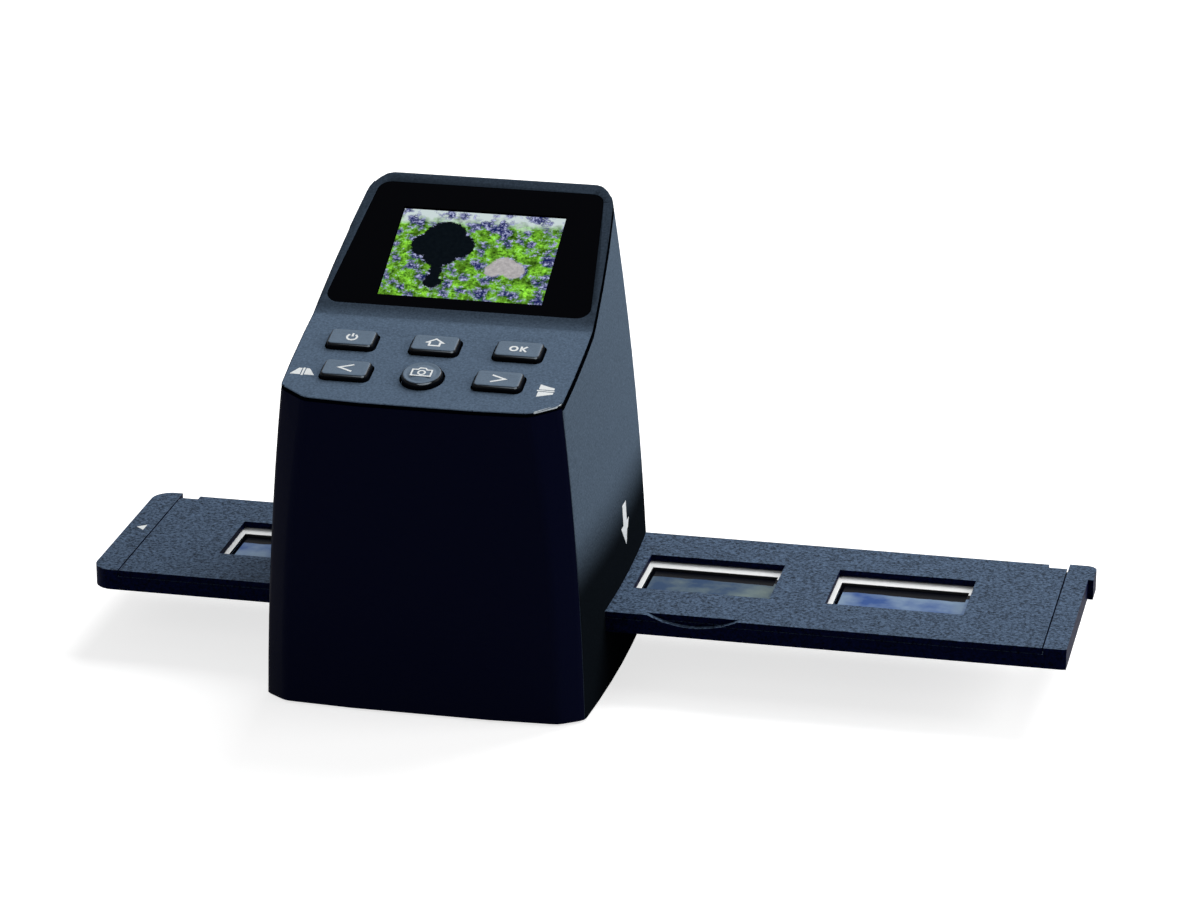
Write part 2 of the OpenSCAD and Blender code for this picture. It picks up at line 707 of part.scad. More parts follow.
detent_cup = 7;
module tray_guide() centred() color("#26292e") difference() {
    union() {
        block(-guide_half, slot_front - rail_front, guide_low, 2 * guide_half,
            slot_rear - slot_front + rail_front + rail_rear, guide_floor);
        for (rail = [[slot_front - rail_front, rail_front], [slot_rear, rail_rear]])
            block(-guide_half, rail[0], guide_low, 2 * guide_half, rail[1], slot_high - guide_low);
        both_sides() for (p = [leg_rear, leg_front])
            translate([p[0], p[1], base_z + base_t + 0.05])
                cylinder(r = boss_r, h = guide_low - base_z - base_t + eps, $fn = 32);
        translate([optical_x, detent_y, guide_low - detent_cup])
            cylinder(r = boss_r, h = detent_cup + eps, $fn = 32);
    }
    block(optical_x - light_w / 2, frame_y - light_d / 2, guide_low - 1, light_w, light_d, guide_floor + 2);
    both_sides() {
        for (p = [leg_rear, leg_front]) post_hole(p);
        translate([leg_front[0], leg_front[1], slot_high - 6]) cylinder(r = 0.9, h = 7, $fn = 24);
    }
    translate([optical_x, detent_y, guide_low - detent_cup + 1])
        cylinder(r = detent_ball_r + 0.1, h = detent_cup + guide_floor + 1, $fn = 32);
}

detent_ball_z = tray_z - 0.05 - detent_ball_r;
module detent_ball() centred() color("silver")
    translate([optical_x, detent_y, detent_ball_z]) sphere(r = detent_ball_r, $fn = 32);

// A round wire of radius wire_r wound into a coil of the given turns.
coil_sides = 6;
coil_steps = 12;
module coil(coil_r, wire_r, length, turns) {
    count = turns * coil_steps;
    points = [for (k = [0:count]) let (
            a = 360 * k / coil_steps,
            out = [cos(a), sin(a), 0],
            centre = coil_r * out + [0, 0, wire_r + (length - 2 * wire_r) * k / count])
        for (i = [0:coil_sides - 1]) let (b = 360 * i / coil_sides)
            centre + wire_r * (cos(b) * out + [0, 0, sin(b)])];
    sides = [for (k = [0:count - 1]) for (i = [0:coil_sides - 1])
        let (j = (i + 1) % coil_sides, p = k * coil_sides, q = p + coil_sides)
        each [[p + i, p + j, q + i], [p + j, q + j, q + i]]];
    first = [[for (i = [coil_sides - 1:-1:0]) i]];
    last = [[for (i = [0:coil_sides - 1]) count * coil_sides + i]];
    polyhedron(points, concat(first, sides, last), convexity = 6);
}
spring_low = guide_low - detent_cup + 1.05;
module detent_spring() centred() color("silver")
    translate([optical_x, detent_y, spring_low])
        coil(detent_ball_r - 0.45, 0.2, detent_ball_z - detent_ball_r * 0.75 - spring_low, 6);

lamp_board_z = base_z + base_t + lamp_pad;
module lamp_board() centred() color("white")
    block(optical_x - lamp_board_w / 2, frame_y - lamp_board_d / 2, lamp_board_z,
        lamp_board_w, lamp_board_d, board_t);

led_side = 5;
module lamp_leds() centred() color("#f2e9b8")
    for (x = [-15, 0, 15]) for (y = [-9, 9])
        block(optical_x + x - led_side / 2, frame_y + y - led_side / 2, lamp_board_z + board_t,
            led_side, led_side, 1.2);

diffuser_t = 2;
diffuser_z = guide_low - diffuser_t;
box_low = lamp_board_z + board_t;
module lamp_box() centred() color("white") difference() {
    block(optical_x - tower_w / 2, frame_y - tower_d / 2, box_low, tower_w, tower_d, diffuser_z - box_low);
    block(optical_x - light_w / 2, frame_y - light_d / 2, box_low - 1, light_w, light_d, far);
}

module lamp_diffuser() centred() color("#eef2f0")
    block(optical_x - tower_w / 2, frame_y - tower_d / 2, diffuser_z, tower_w, tower_d, diffuser_t);

// ---- Tower and camera ----

sensor_posts = [[-12, -10], [12, -10], [-12, 10], [12, 10]];
module at_lens() { translate([optical_x, frame_y, 0]) children(); }

module optics_tower() centred() color("#1d2024") difference() {
    union() {
        block(-guide_half, slot_front - rail_front, tower_low, 2 * guide_half,
            slot_rear - slot_front + rail_front + rail_rear, tower_flange);
        block(optical_x - tower_w / 2, frame_y - tower_d / 2, tower_low, tower_w, tower_d, tower_h);
        at_lens() for (p = sensor_posts)
            translate([p[0], p[1], tower_top - eps])
                cylinder(r = deck_boss_r, h = sensor_z - tower_top + eps, $fn = 32);
    }
    block(optical_x - light_w / 2, frame_y - light_d / 2, tower_low - 1, light_w, light_d, tower_h - 1);
    at_lens() {
        translate([0, 0, tower_top - 10]) cylinder(r = barrel_r + 0.05, h = 20, $fn = 64);
        for (p = sensor_posts)
            translate([p[0], p[1], sensor_z - 5]) cylinder(r = 0.8, h = 6, $fn = 24);
    }
    both_sides() translate([leg_front[0], leg_front[1], tower_low - 1])
        cylinder(r = screw_r, h = tower_flange + 2, $fn = 24);
}

module tower_screws() centred() color("silver")
    both_sides() translate([leg_front[0], leg_front[1], tower_low + tower_flange])
        mirror([0, 0, 1]) small_screw(5.5);

module lens_barrel() centred() color("#101114") at_lens() difference() {
    union() {
        translate([0, 0, tower_top - barrel_drop]) cylinder(r = barrel_r, h = barrel_len, $fn = 64);
        translate([0, 0, tower_top]) cylinder(r = barrel_r + 1.6, h = 1.2, $fn = 64);
    }
    translate([0, 0, tower_top - barrel_drop - 1]) cylinder(r = lens_r, h = barrel_len + 2, $fn = 64);
}

lens_t = 2.6;
module lens_elements() centred() color("#a9c7d8") at_lens()
    for (z = [1, 8]) translate([0, 0, tower_top - barrel_drop + z])
        cylinder(r = lens_r - 0.02, h = lens_t, $fn = 64);

module sensor_board() centred() color(board_green) at_lens() difference() {
    block(-sensor_w / 2, -sensor_d / 2, sensor_z, sensor_w, sensor_d, board_t);
    for (p = sensor_posts)
        translate([p[0], p[1], sensor_z - 1]) cylinder(r = screw_r, h = board_t + 2, $fn = 24);
}

module sensor_chip() centred() color("#15171a") at_lens()
    block(-5, -4, sensor_z - 1.2, 10, 8, 1.2);

module sensor_screws() centred() color("silver") at_lens()
    for (p = sensor_posts)
        translate([p[0], p[1], sensor_z + board_t]) mirror([0, 0, 1]) small_screw(4);

// ---- Tray ----

// Children are drawn about the tray's middle, at its place at rest.
module at_tray() { translate([tray_rest, 0, 0]) children(); }

// An end block with corners of radius r, cut back by the depth given.
module end_block_shape(r, cut) {
    w = end_block;
    x = cover_half;
    rear = tray_rear + end_tab;
    difference() {
        intersection() {
            block(x, tray_front, tray_z, w, rear - tray_front, tray_t);
            union() {
                block(x - 1, tray_front + r, tray_z - 1, w + 1, rear - tray_front - 2 * r, tray_t + 2);
                block(x - 1, tray_front - 1, tray_z - 1, w + 1 - r, rear - tray_front + 2, tray_t + 2);
                for (y = [tray_front + r, rear - r])
                    translate([x + w - r, y, tray_z - 1]) cylinder(r = r, h = tray_t + 2, $fn = 64);
            }
        }
        if (cut > 0)
            block(x + w - cut, tray_front - 1, tray_z - 1, far, rear - end_cut[1] - tray_front + 1, far);
    }
}

notch_r = (notch_w * notch_w / 4 + notch_h * notch_h) / (2 * notch_h);
module thumb_notches()
    both_sides() translate([inner_frame + 1.2, tray_front - 1, tray_top + notch_r - notch_h])
        rotate([-90, 0, 0]) cylinder(r = notch_r, h = notch_d + 1, $fn = 180);

module hinge_bores(r) both_sides()
    translate([cover_half - 5, hinge_y, hinge_z]) rotate([0, 90, 0]) cylinder(r = r, h = 9, $fn = 24);

module tray_base() centred() color(matte_black) at_tray() difference() {
    union() {
        block(-cover_half - eps, tray_front, tray_z, 2 * (cover_half + eps),
            base_rear - tray_front, base_top - tray_z);
        end_block_shape(corner_right, end_cut[0]);
        mirror([1, 0, 0]) end_block_shape(corner_left, 0);
    }
    for (x = frames) {
        block(x - mount_side / 2 - 0.4, frame_y - mount_side / 2 - 0.4, pocket_z,
            mount_side + 0.8, mount_side + 0.8, far);
        block(x - window_w / 2 + 0.8, frame_y - window_d / 2 + 0.8, tray_z - 1,
            window_w - 1.6, window_d - 1.6, far);
        translate([x, detent_y, tray_z - detent_ball_r - 0.1 + detent_sink])
            sphere(r = detent_ball_r + 0.1, $fn = 32);
    }
    thumb_notches();
    hinge_bores(hinge_pin_r + 0.02);
}

module tray_cover() centred() color(matte_black) at_tray() difference() {
    block(-cover_half + cover_gap, tray_front, tray_top - cover_t,
        2 * (cover_half - cover_gap), tray_d, cover_t);
    for (x = frames)
        block(x - window_w / 2, window_y - window_d / 2, tray_z, window_w, window_d, far);
    both_sides()
        block(cover_half - cover_gap - rear_notch_w, tray_rear - rear_notch_d, tray_z, far, far, far);
    thumb_notches();
    hinge_bores(hinge_pin_r + 0.05);
}

module tray_hinge_pins() centred() color("silver") at_tray() both_sides()
    translate([cover_half - 4.5, hinge_y, hinge_z]) rotate([0, 90, 0])
        cylinder(r = hinge_pin_r, h = 8, $fn = 24);

film_margin = 0.7;     // ledge that carries the film inside a mount
module slide_mounts() centred() color("#f3f4f2") at_tray()
    for (x = frames) difference() {
        translate([x, frame_y, pocket_z]) plate(mount_side, mount_side, mount_t, 2);
        block(x - aperture_w / 2, frame_y - aperture_d / 2, pocket_z + mount_t / 2,
            aperture_w, aperture_d, far);
        block(x - aperture_w / 2 + film_margin, frame_y - aperture_d / 2 + film_margin, 0,
            aperture_w - 2 * film_margin, aperture_d - 2 * film_margin, far);
    }

module slide_films() centred() color("#7d8b9c") at_tray()
    for (x = frames)
        block(x - aperture_w / 2 + 0.05, frame_y - aperture_d / 2 + 0.05, pocket_z + mount_t / 2,
            aperture_w - 0.1, aperture_d - 0.1, film_t);

base_plate();
rubber_feet();
case_screws();
chassis_screws();
body_shell();
front_panel();
top_bezel();
screen_glass();
display_module();
main_board();
main_board_chips();
main_board_screws();
power_key();
home_key();
ok_key();
left_key();
capture_key();
right_key();
key_board();
key_switches();
key_board_screws();
port_board();
port_board_screws();
usb_port();
card_socket();
tray_guide();
detent_ball();
detent_spring();
optics_tower();
tower_screws();
lens_barrel();
lens_elements();
sensor_board();
sensor_chip();
sensor_screws();
lamp_board();
lamp_leds();
lamp_box();
lamp_diffuser();
tray_base();
tray_cover();
tray_hinge_pins();
slide_mounts();
slide_films();
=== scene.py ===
# %% [markdown]
# # A desktop film and slide scanner
# The engineering model gives every piece its place and size. This notebook loads it, then
# dresses it: soft-edged key caps, white printed symbols, a lit screen picture, and the
# plastics, metals and glass that each piece is made of. Everything is in metres, +Z up.

# %% Load the engineering model
import math
import bpy
import bmesh
from mathutils import Matrix, Vector


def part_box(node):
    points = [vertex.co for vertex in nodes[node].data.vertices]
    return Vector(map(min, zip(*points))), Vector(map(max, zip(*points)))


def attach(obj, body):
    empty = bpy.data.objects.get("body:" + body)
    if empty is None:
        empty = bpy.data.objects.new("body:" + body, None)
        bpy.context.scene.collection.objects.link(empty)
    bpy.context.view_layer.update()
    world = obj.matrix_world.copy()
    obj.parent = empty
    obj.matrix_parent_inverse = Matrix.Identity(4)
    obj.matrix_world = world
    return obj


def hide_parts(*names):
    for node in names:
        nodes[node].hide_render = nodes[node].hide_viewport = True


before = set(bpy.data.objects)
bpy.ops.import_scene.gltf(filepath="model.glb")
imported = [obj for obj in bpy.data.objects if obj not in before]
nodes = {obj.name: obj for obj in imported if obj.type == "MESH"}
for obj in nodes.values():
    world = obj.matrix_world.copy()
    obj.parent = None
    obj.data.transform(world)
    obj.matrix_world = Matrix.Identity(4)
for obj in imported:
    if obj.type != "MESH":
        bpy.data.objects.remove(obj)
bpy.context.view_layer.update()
MM = 0.001

# %% [markdown]
# ## Where the two sloping faces are
# The keys sit on a deck that slopes 14.1 degrees, and the screen on a face that slopes 26.6
# degrees. A matrix for each lets us draw symbols flat, in millimetres, and then set them on
# the slope: x runs sideways, y up the slope, z straight out of the face.

# %% Places from the frame
TRAY_FRONT = -18                             # the tray's front edge, from the housing's axis
shell_low, shell_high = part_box("body_shell")
tray_low, tray_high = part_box("tray_base")
HOUSING = Vector(((shell_low.x + shell_high.x) / 2, tray_low.y - TRAY_FRONT * MM, 0))
FRONT_Y, FRONT_Z = -48.9, 94.2               # the deck's front edge
DECK_SLOPE, SCREEN_SLOPE = 14.1, 26.6
DECK_RUN = 43.0
DECK_LENGTH = DECK_RUN / math.cos(math.radians(DECK_SLOPE))
CREASE_Y = FRONT_Y + DECK_RUN
CREASE_Z = FRONT_Z + DECK_RUN * math.tan(math.radians(DECK_SLOPE))


def slope_matrix(y, z, degrees):
    """Sets something on a slope whose front edge runs sideways at this depth and height."""
    place = Matrix.Translation(HOUSING + Vector((0, y, z)) * MM)
    return place @ Matrix.Rotation(math.radians(degrees), 4, "X")


ON_DECK = slope_matrix(FRONT_Y, FRONT_Z, DECK_SLOPE)
ON_SCREEN = slope_matrix(CREASE_Y, CREASE_Z, SCREEN_SLOPE)
print("housing axis, mm:", [round(v / MM, 2) for v in HOUSING], "deck length:", round(DECK_LENGTH, 2))

# %% [markdown]
# ## The camera
# A long lens from a little above and to the right keeps the sides nearly parallel. The
# numbers come from lining up the housing's edges with straight lines of sight.

# %% Camera
SENSOR_W, LENS = 36, 133.47                  # mm
CAMERA_FROM_AXIS = (299.62, -1176.15, 517.01)
TARGET_FROM_AXIS = (44.5, -10.8, 71.2)
camera_data = bpy.data.cameras.new("camera")
camera_data.sensor_width = SENSOR_W
camera_data.lens = LENS
camera = bpy.data.objects.new("camera", camera_data)
bpy.context.scene.collection.objects.link(camera)
camera.location = HOUSING + Vector(CAMERA_FROM_AXIS) * MM
target = HOUSING + Vector(TARGET_FROM_AXIS) * MM
camera.rotation_euler = (target - camera.location).to_track_quat("-Z", "Y").to_euler()
bpy.context.scene.camera = camera
print("camera distance, m:", round((target - camera.location).length, 3))

# %% [markdown]
# ## Two helpers for finishes
# Colours are easiest to read as hex values, but the renderer wants linear light, so one
# function turns them. The other adds a shader node with its settings and its inputs. An input
# is a plain value, another node's output, or just that node, when its first output is meant.

# %% Colour and node helpers
BLEND = {"data_type": "RGBA"}                # mixes two colours
TINT = {"data_type": "RGBA", "blend_type": "MULTIPLY"}


def linear(code):
    """An sRGB hex colour as linear RGBA."""
    values = [int(code[i:i + 2], 16) / 255 for i in (1, 3, 5)]
    return tuple(v / 12.92 if v <= 0.04045 else ((v + 0.055) / 1.055) ** 2.4 for v in values) + (1.0,)


def add(tree, kind, settings=None, inputs=None):
    """A new shader node, with settings by name and inputs by socket name or number."""
    node = tree.nodes.new(kind)
    for key, value in (settings or {}).items():
        setattr(node, key, value)
    for key, value in (inputs or {}).items():
        if isinstance(value, bpy.types.Node):
            value = next(socket for socket in value.outputs if socket.enabled)
        if isinstance(value, bpy.types.NodeSocket):
            tree.links.new(value, node.inputs[key])
        else:
            node.inputs[key].default_value = value
    return node


def new_material(name):
    """An empty material and its node tree."""
    material = bpy.data.materials.new(name)
    material.use_nodes = True
    material.node_tree.nodes.clear()
    return material, material.node_tree


def wear(material, *names):
    """Gives the named engineering nodes this one material."""
    for name in names:
        mesh = nodes[name].data
        mesh.materials.clear()
        mesh.materials.append(material)


print("white is", linear("#ffffff"))

# %% [markdown]
# ## Moulded ABS with a spark-eroded texture
# The casing is ABS from a mould whose steel was textured by spark erosion, which leaves a
# field of tiny pits in the resin, itself near black. One maker does all of it: a ramp gives a
# colour for how far the surface leans from an axis, and so paints light and shade by facing:
# on the casing its slate tones are painted light and its near black painted shade. Noise
# speckles that colour and the roughness and drives a shallow bump. The real pits are about
# 0.1 mm wide, too fine to show here, so they are drawn at 0.5 to 0.8 mm. Pits scatter so well
# that hardly any mirror light is left, hence a gloss near nothing. A painted shade darkens the
# colour along one axis: towards the tray's slot on the right wall, and above the keys on the
# bezel. A glint is a painted highlight, in a pale tone, on one edge.

# %% Textured ABS
PIT_DEPTH, UNEVEN = 0.1, 0.08                # the bump in mm, and how far the roughness varies


def with_painted_glint(tree, place, normal, colour, direction, lean, tone, middle, reach):
    """The colour, or a painted highlight in tone where a face leans towards direction within
    reach mm of middle.
    """
    toward = add(tree, "ShaderNodeVectorMath", {"operation": "DOT_PRODUCT"}, {0: normal, 1: direction})
    highlight_lean = add(tree, "ShaderNodeMapRange", None,
                {"Value": toward, "From Min": lean, "From Max": lean + 0.02})
    away = add(tree, "ShaderNodeVectorMath", {"operation": "DISTANCE"}, {0: place, 1: middle})
    close = add(tree, "ShaderNodeMath", {"operation": "LESS_THAN"}, {0: away, 1: reach * MM})
    share = add(tree, "ShaderNodeMath", {"operation": "MULTIPLY"}, {0: highlight_lean, 1: close})
    return add(tree, "ShaderNodeMix", BLEND, {"Factor": share, "A": colour, "B": linear(tone)})


def with_painted_shade(tree, place, normal, colour, axis, start, end, first, last, side=None):
    """A painted shade: the colour times a gain that goes from first to last along an axis, from
    start to end mm. With a side, only faces that look that way are darkened."""
    along = add(tree, "ShaderNodeSeparateXYZ", None, {"Vector": place}).outputs[axis]
    gain = add(tree, "ShaderNodeMapRange", {"interpolation_type": "SMOOTHSTEP"},
               {"Value": along, "From Min": start * MM, "From Max": end * MM,
                "To Min": first, "To Max": last})
    if side:
        toward = add(tree, "ShaderNodeVectorMath", {"operation": "DOT_PRODUCT"}, {0: normal, 1: side})
        share = add(tree, "ShaderNodeMapRange", {"interpolation_type": "SMOOTHSTEP"},
                    {"Value": toward, "From Min": 0.3, "From Max": 0.9})
        gain = add(tree, "ShaderNodeMix", {"data_type": "FLOAT"}, {"Factor": share, "A": 1.0, "B": gain})
    return add(tree, "ShaderNodeMix", TINT, {"Factor": 1.0, "A": colour, "B": gain})


def moulded(name, tones, axis=(0, 0, 1), grain_mm=0.6, contrast=0.15, roughness=0.45, gloss=0.02,
            bump=0.3, painted_dimming=None, glint=None, facing="Normal"):
    """Moulded plastic; tones are pairs of lean and colour, where lean 1 faces along the axis,
    so the ramp paints light and shade by facing. facing is the normal that the lean is taken
    from: Normal, or True Normal on flat faces. The settings for a painted shade and a painted
    highlight go to the two functions above."""
    material, tree = new_material(name)
    place = add(tree, "ShaderNodeTexCoord").outputs["Object"]
    normal = add(tree, "ShaderNodeNewGeometry").outputs[facing]
    grain = add(tree, "ShaderNodeTexNoise", None,
                {"Vector": place, "Scale": 1000 / grain_mm, "Detail": 2.0, "Roughness": 0.7})
    lean = add(tree, "ShaderNodeVectorMath", {"operation": "DOT_PRODUCT"}, {0: normal, 1: axis})
    # the ramp paints light and shade by how far a face leans
    colour = add(tree, "ShaderNodeValToRGB", None, {"Fac": lean})
    for stop, (position, tone) in zip(colour.color_ramp.elements, tones):
        stop.position, stop.color = position, linear(tone)
    if glint:
        colour = with_painted_glint(tree, place, normal, colour, **glint)
    if painted_dimming:
        colour = with_painted_shade(tree, place, normal, colour, **painted_dimming)
    speckle = add(tree, "ShaderNodeMapRange", None,
                  {"Value": grain, "From Min": 0.3, "From Max": 0.7,
                   "To Min": 1 - contrast, "To Max": 1 + contrast})
    shade = add(tree, "ShaderNodeMix", TINT, {"Factor": 1.0, "A": colour, "B": speckle})
    rough = add(tree, "ShaderNodeMapRange", None,
                {"Value": grain, "To Min": roughness - UNEVEN, "To Max": roughness + UNEVEN})
    pits = add(tree, "ShaderNodeBump", None,
               {"Height": grain, "Strength": bump, "Distance": PIT_DEPTH * MM})
    body = add(tree, "ShaderNodeBsdfPrincipled", None,
               {"Base Color": shade, "Roughness": rough, "Normal": pits,
                "IOR": 1.54, "Specular IOR Level": gloss})
    add(tree, "ShaderNodeOutputMaterial", None, {"Surface": body})
    return material


print("moulded plastic ready")

# %% [markdown]
# ## Where the textured ABS goes
# The bezel bends at a crease, so its lean is taken from the mean of its two slopes, and a
# painted shade darkens it from the crease upwards. The side walls are steep, so their ramp
# runs the other way: a slate painted sheen upright, and black painted shade where a face
# looks up. The tray has a coarse texture, and painted light makes its top faces slate.

# %% Bezel, walls and tray
RESIN = "#060b28"
# near black for faces in painted shade, on the bezel and the walls
SHADE_BLACK = "#04060b"
bezel_normal = slope_matrix(0, 0, (DECK_SLOPE + SCREEN_SLOPE) / 2).to_3x3() @ Vector((0, 0, 1))
crease = HOUSING.y / MM + CREASE_Y
CORNER_X, CORNER_IN = 42.5, 3                # where the deck's right front corner is rounded
right_corner = HOUSING + Vector((CORNER_X, FRONT_Y + CORNER_IN, FRONT_Z)) * MM
# Bezel: painted light on slate faces, painted shade on steep faces and above the crease, and a painted
# highlight at the right front corner.
wear(moulded("ABS, bezel, painted light and shade", [(0.8, SHADE_BLACK), (0.96, "#5d6f84")], tuple(bezel_normal),
             grain_mm=0.7, contrast=0.25, gloss=0.0, facing="True Normal",
             painted_dimming=dict(axis="Y", start=crease - 2.5, end=crease + 4, first=1.0, last=0.36),
             glint=dict(direction=(0.40, -0.67, 0.63), lean=0.925, tone="#d8e2e8",
                        middle=tuple(right_corner), reach=9)), "top_bezel")
# Walls: painted sheen on upright faces, painted shade where faces look up, and painted shade low on the
# right wall by the tray's slot.
wear(moulded("ABS, side walls, painted sheen and shade", [(0.15, "#5f6f80"), (0.5, SHADE_BLACK)],
             grain_mm=0.6, contrast=0.25, roughness=0.4, gloss=0.0, bump=0.15,
             painted_dimming=dict(axis="Z", start=37, end=60, first=0.05, last=1.0, side=(1, 0, 0))), "body_shell")
# Tray: the slate top faces are painted light; the sides keep the resin's black.
wear(moulded("ABS, tray, coarse texture", [(0.5, RESIN), (0.9, "#46566b")],
             grain_mm=0.8, contrast=0.9, roughness=0.5, gloss=0.01, bump=0.5), "tray_base", "tray_cover")
print("textured ABS on bezel, walls and tray")

# %% [markdown]
# ## Polished black ABS
# The front panel comes from a mirror-polished mould. It shows the resin's own blue black and
# a faint reflection. A slight waviness, centimetres long, keeps a large panel from looking
# like glass, and fine dust makes its roughness uneven.

# %% Front panel
SWELL_MM, DUST_MM = 30, 1.5


def polished_abs(name, colour, roughness=0.16, gloss=0.01, wave=0.06):
    material, tree = new_material(name)
    place = add(tree, "ShaderNodeTexCoord").outputs["Object"]
    swell = add(tree, "ShaderNodeTexNoise", None,
                {"Vector": place, "Scale": 1000 / SWELL_MM, "Detail": 1.0})
    dust = add(tree, "ShaderNodeTexNoise", None,
               {"Vector": place, "Scale": 1000 / DUST_MM, "Detail": 3.0})
    rough = add(tree, "ShaderNodeMapRange", None,
                {"Value": dust, "To Min": roughness * 0.8, "To Max": roughness * 1.2})
    wavy = add(tree, "ShaderNodeBump", None, {"Height": swell, "Strength": wave, "Distance": 0.3 * MM})
    body = add(tree, "ShaderNodeBsdfPrincipled", None,
               {"Base Color": linear(colour), "Roughness": rough, "Normal": wavy,
                "IOR": 1.54, "Specular IOR Level": gloss})
    add(tree, "ShaderNodeOutputMaterial", None, {"Surface": body})
    return material


wear(polished_abs("ABS, polished black", RESIN), "front_panel")
print("front panel set")

# %% [markdown]
# ## Plain plastics, rubber and boards
# Inside pieces and small parts are matte resin, rubber or solder mask. One maker with a mottled
# colour and a fine bump serves them all, each with its own colour, roughness and grain size.

# %% Small part finishes
FINE_PIT_DEPTH, SLIGHTLY_UNEVEN = 0.05, 0.05


def mottled(name, dark, pale, grain_mm, roughness, bump=0.2, ior=1.5, metal=0.0, gloss=0.5):
    """A finish in grains of two close shades; metal 1 makes it a metal, with the default IOR."""
    material, tree = new_material(name)
    place = add(tree, "ShaderNodeTexCoord").outputs["Object"]
    grain = add(tree, "ShaderNodeTexNoise", None,
                {"Vector": place, "Scale": 1000 / grain_mm, "Detail": 4.0})
    shade = add(tree, "ShaderNodeMix", BLEND, {"Factor": grain, "A": linear(dark), "B": linear(pale)})
    rough = add(tree, "ShaderNodeMapRange", None,
                {"Value": grain, "To Min": roughness - SLIGHTLY_UNEVEN,
                 "To Max": roughness + SLIGHTLY_UNEVEN})
    pits = add(tree, "ShaderNodeBump", None,
               {"Height": grain, "Strength": bump, "Distance": FINE_PIT_DEPTH * MM})
    inputs = {"Base Color": shade, "Roughness": rough, "Normal": pits, "Metallic": metal}
    if metal == 0:
        inputs["IOR"] = ior
        inputs["Specular IOR Level"] = gloss
    body = add(tree, "ShaderNodeBsdfPrincipled", None, inputs)
    add(tree, "ShaderNodeOutputMaterial", None, {"Surface": body})
    return material


wear(mottled("ABS, black, underside", "#0b0d12", "#14171d", 0.6, 0.55), "base_plate")
wear(mottled("silicone rubber, dark grey", "#1b1c1f", "#25262a", 0.8, 0.8, 0.3, 1.41), "rubber_feet")
wear(mottled("polycarbonate, black, inside", "#141619", "#1b1e22", 0.8, 0.6),
     "tray_guide", "optics_tower", "key_switches")
wear(mottled("epoxy resin, black", "#101113", "#1a1b1e", 0.5, 0.45), "main_board_chips", "sensor_chip")
wear(mottled("solder mask, green", "#0d3b22", "#175434", 1.2, 0.3, 0.15),
     "main_board", "key_board", "port_board", "sensor_board")
wear(mottled("polystyrene, white reflector", "#dcdcd6", "#eeeeea", 2.0, 0.5), "lamp_board", "lamp_box")
wear(mottled("acrylic, opal", "#dfe5e3", "#eef2f0", 3.0, 0.35), "lamp_diffuser")
wear(mottled("phosphor resin, yellow", "#d9c877", "#efe3a0", 0.4, 0.3), "lamp_leds")
print("plain finishes set")

# %% [markdown]
# ## Metals
# Screws and springs are steel with a thin zinc coat, the port and the card socket tin-plated
# sheet, the lens barrel anodised aluminium. Metals get their look from metallic 1, the metal's
# own reflectance as colour, and a fine brushed roughness.

# %% Metal finishes
wear(mottled("steel, zinc plated", "#b9bbbe", "#cfd1d3", 0.3, 0.32, 0.15, metal=1.0),
     "case_screws", "chassis_screws", "main_board_screws", "key_board_screws",
     "port_board_screws", "tower_screws", "sensor_screws", "detent_ball", "tray_hinge_pins")
wear(mottled("spring steel wire", "#a9abad", "#bfc1c3", 0.3, 0.35, 0.1, metal=1.0), "detent_spring")
wear(mottled("steel, tin plated", "#c4c5c6", "#d6d7d8", 0.4, 0.3, 0.1, metal=1.0),
     "usb_port", "card_socket")
wear(mottled("aluminium, black anodised", "#15161a", "#1f2126", 0.3, 0.4, 0.15, metal=1.0), "lens_barrel")
print("metals set")

# %% [markdown]
# ## Slide mounts and film
# The mounts are white polypropylene; their steep faces, the inner edges of the openings among
# them, are painted black as shade. A black strip with a ragged edge covers the film at the rear
# of each opening. Elsewhere the picture is dyed in soft blue grey patches, which a noise 14 mm
# wide lays out, and the third of the four is warmer.

# %% Mounts and film
# white where faces look up, black painted shade on steep faces
wear(moulded("polypropylene, white mount", [(0.35, "#07080c"), (0.6, "#f4f6f6")],
             grain_mm=1.5, contrast=0.03, roughness=0.45, gloss=0.3, bump=0.1), "slide_mounts")
FILM_BORDER = 5.2                            # black strip at the rear of each opening
HALF_OPENING = 11.3                          # from a mount's middle line to its opening's rear
RAGGED = 4                                   # how far the border's edge wanders, mm
PATCH_MM = 14
WARM_START, WARM_END = 0.5, 0.75             # the third frame, as shares of the film's length
film_low, film_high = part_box("slide_films")


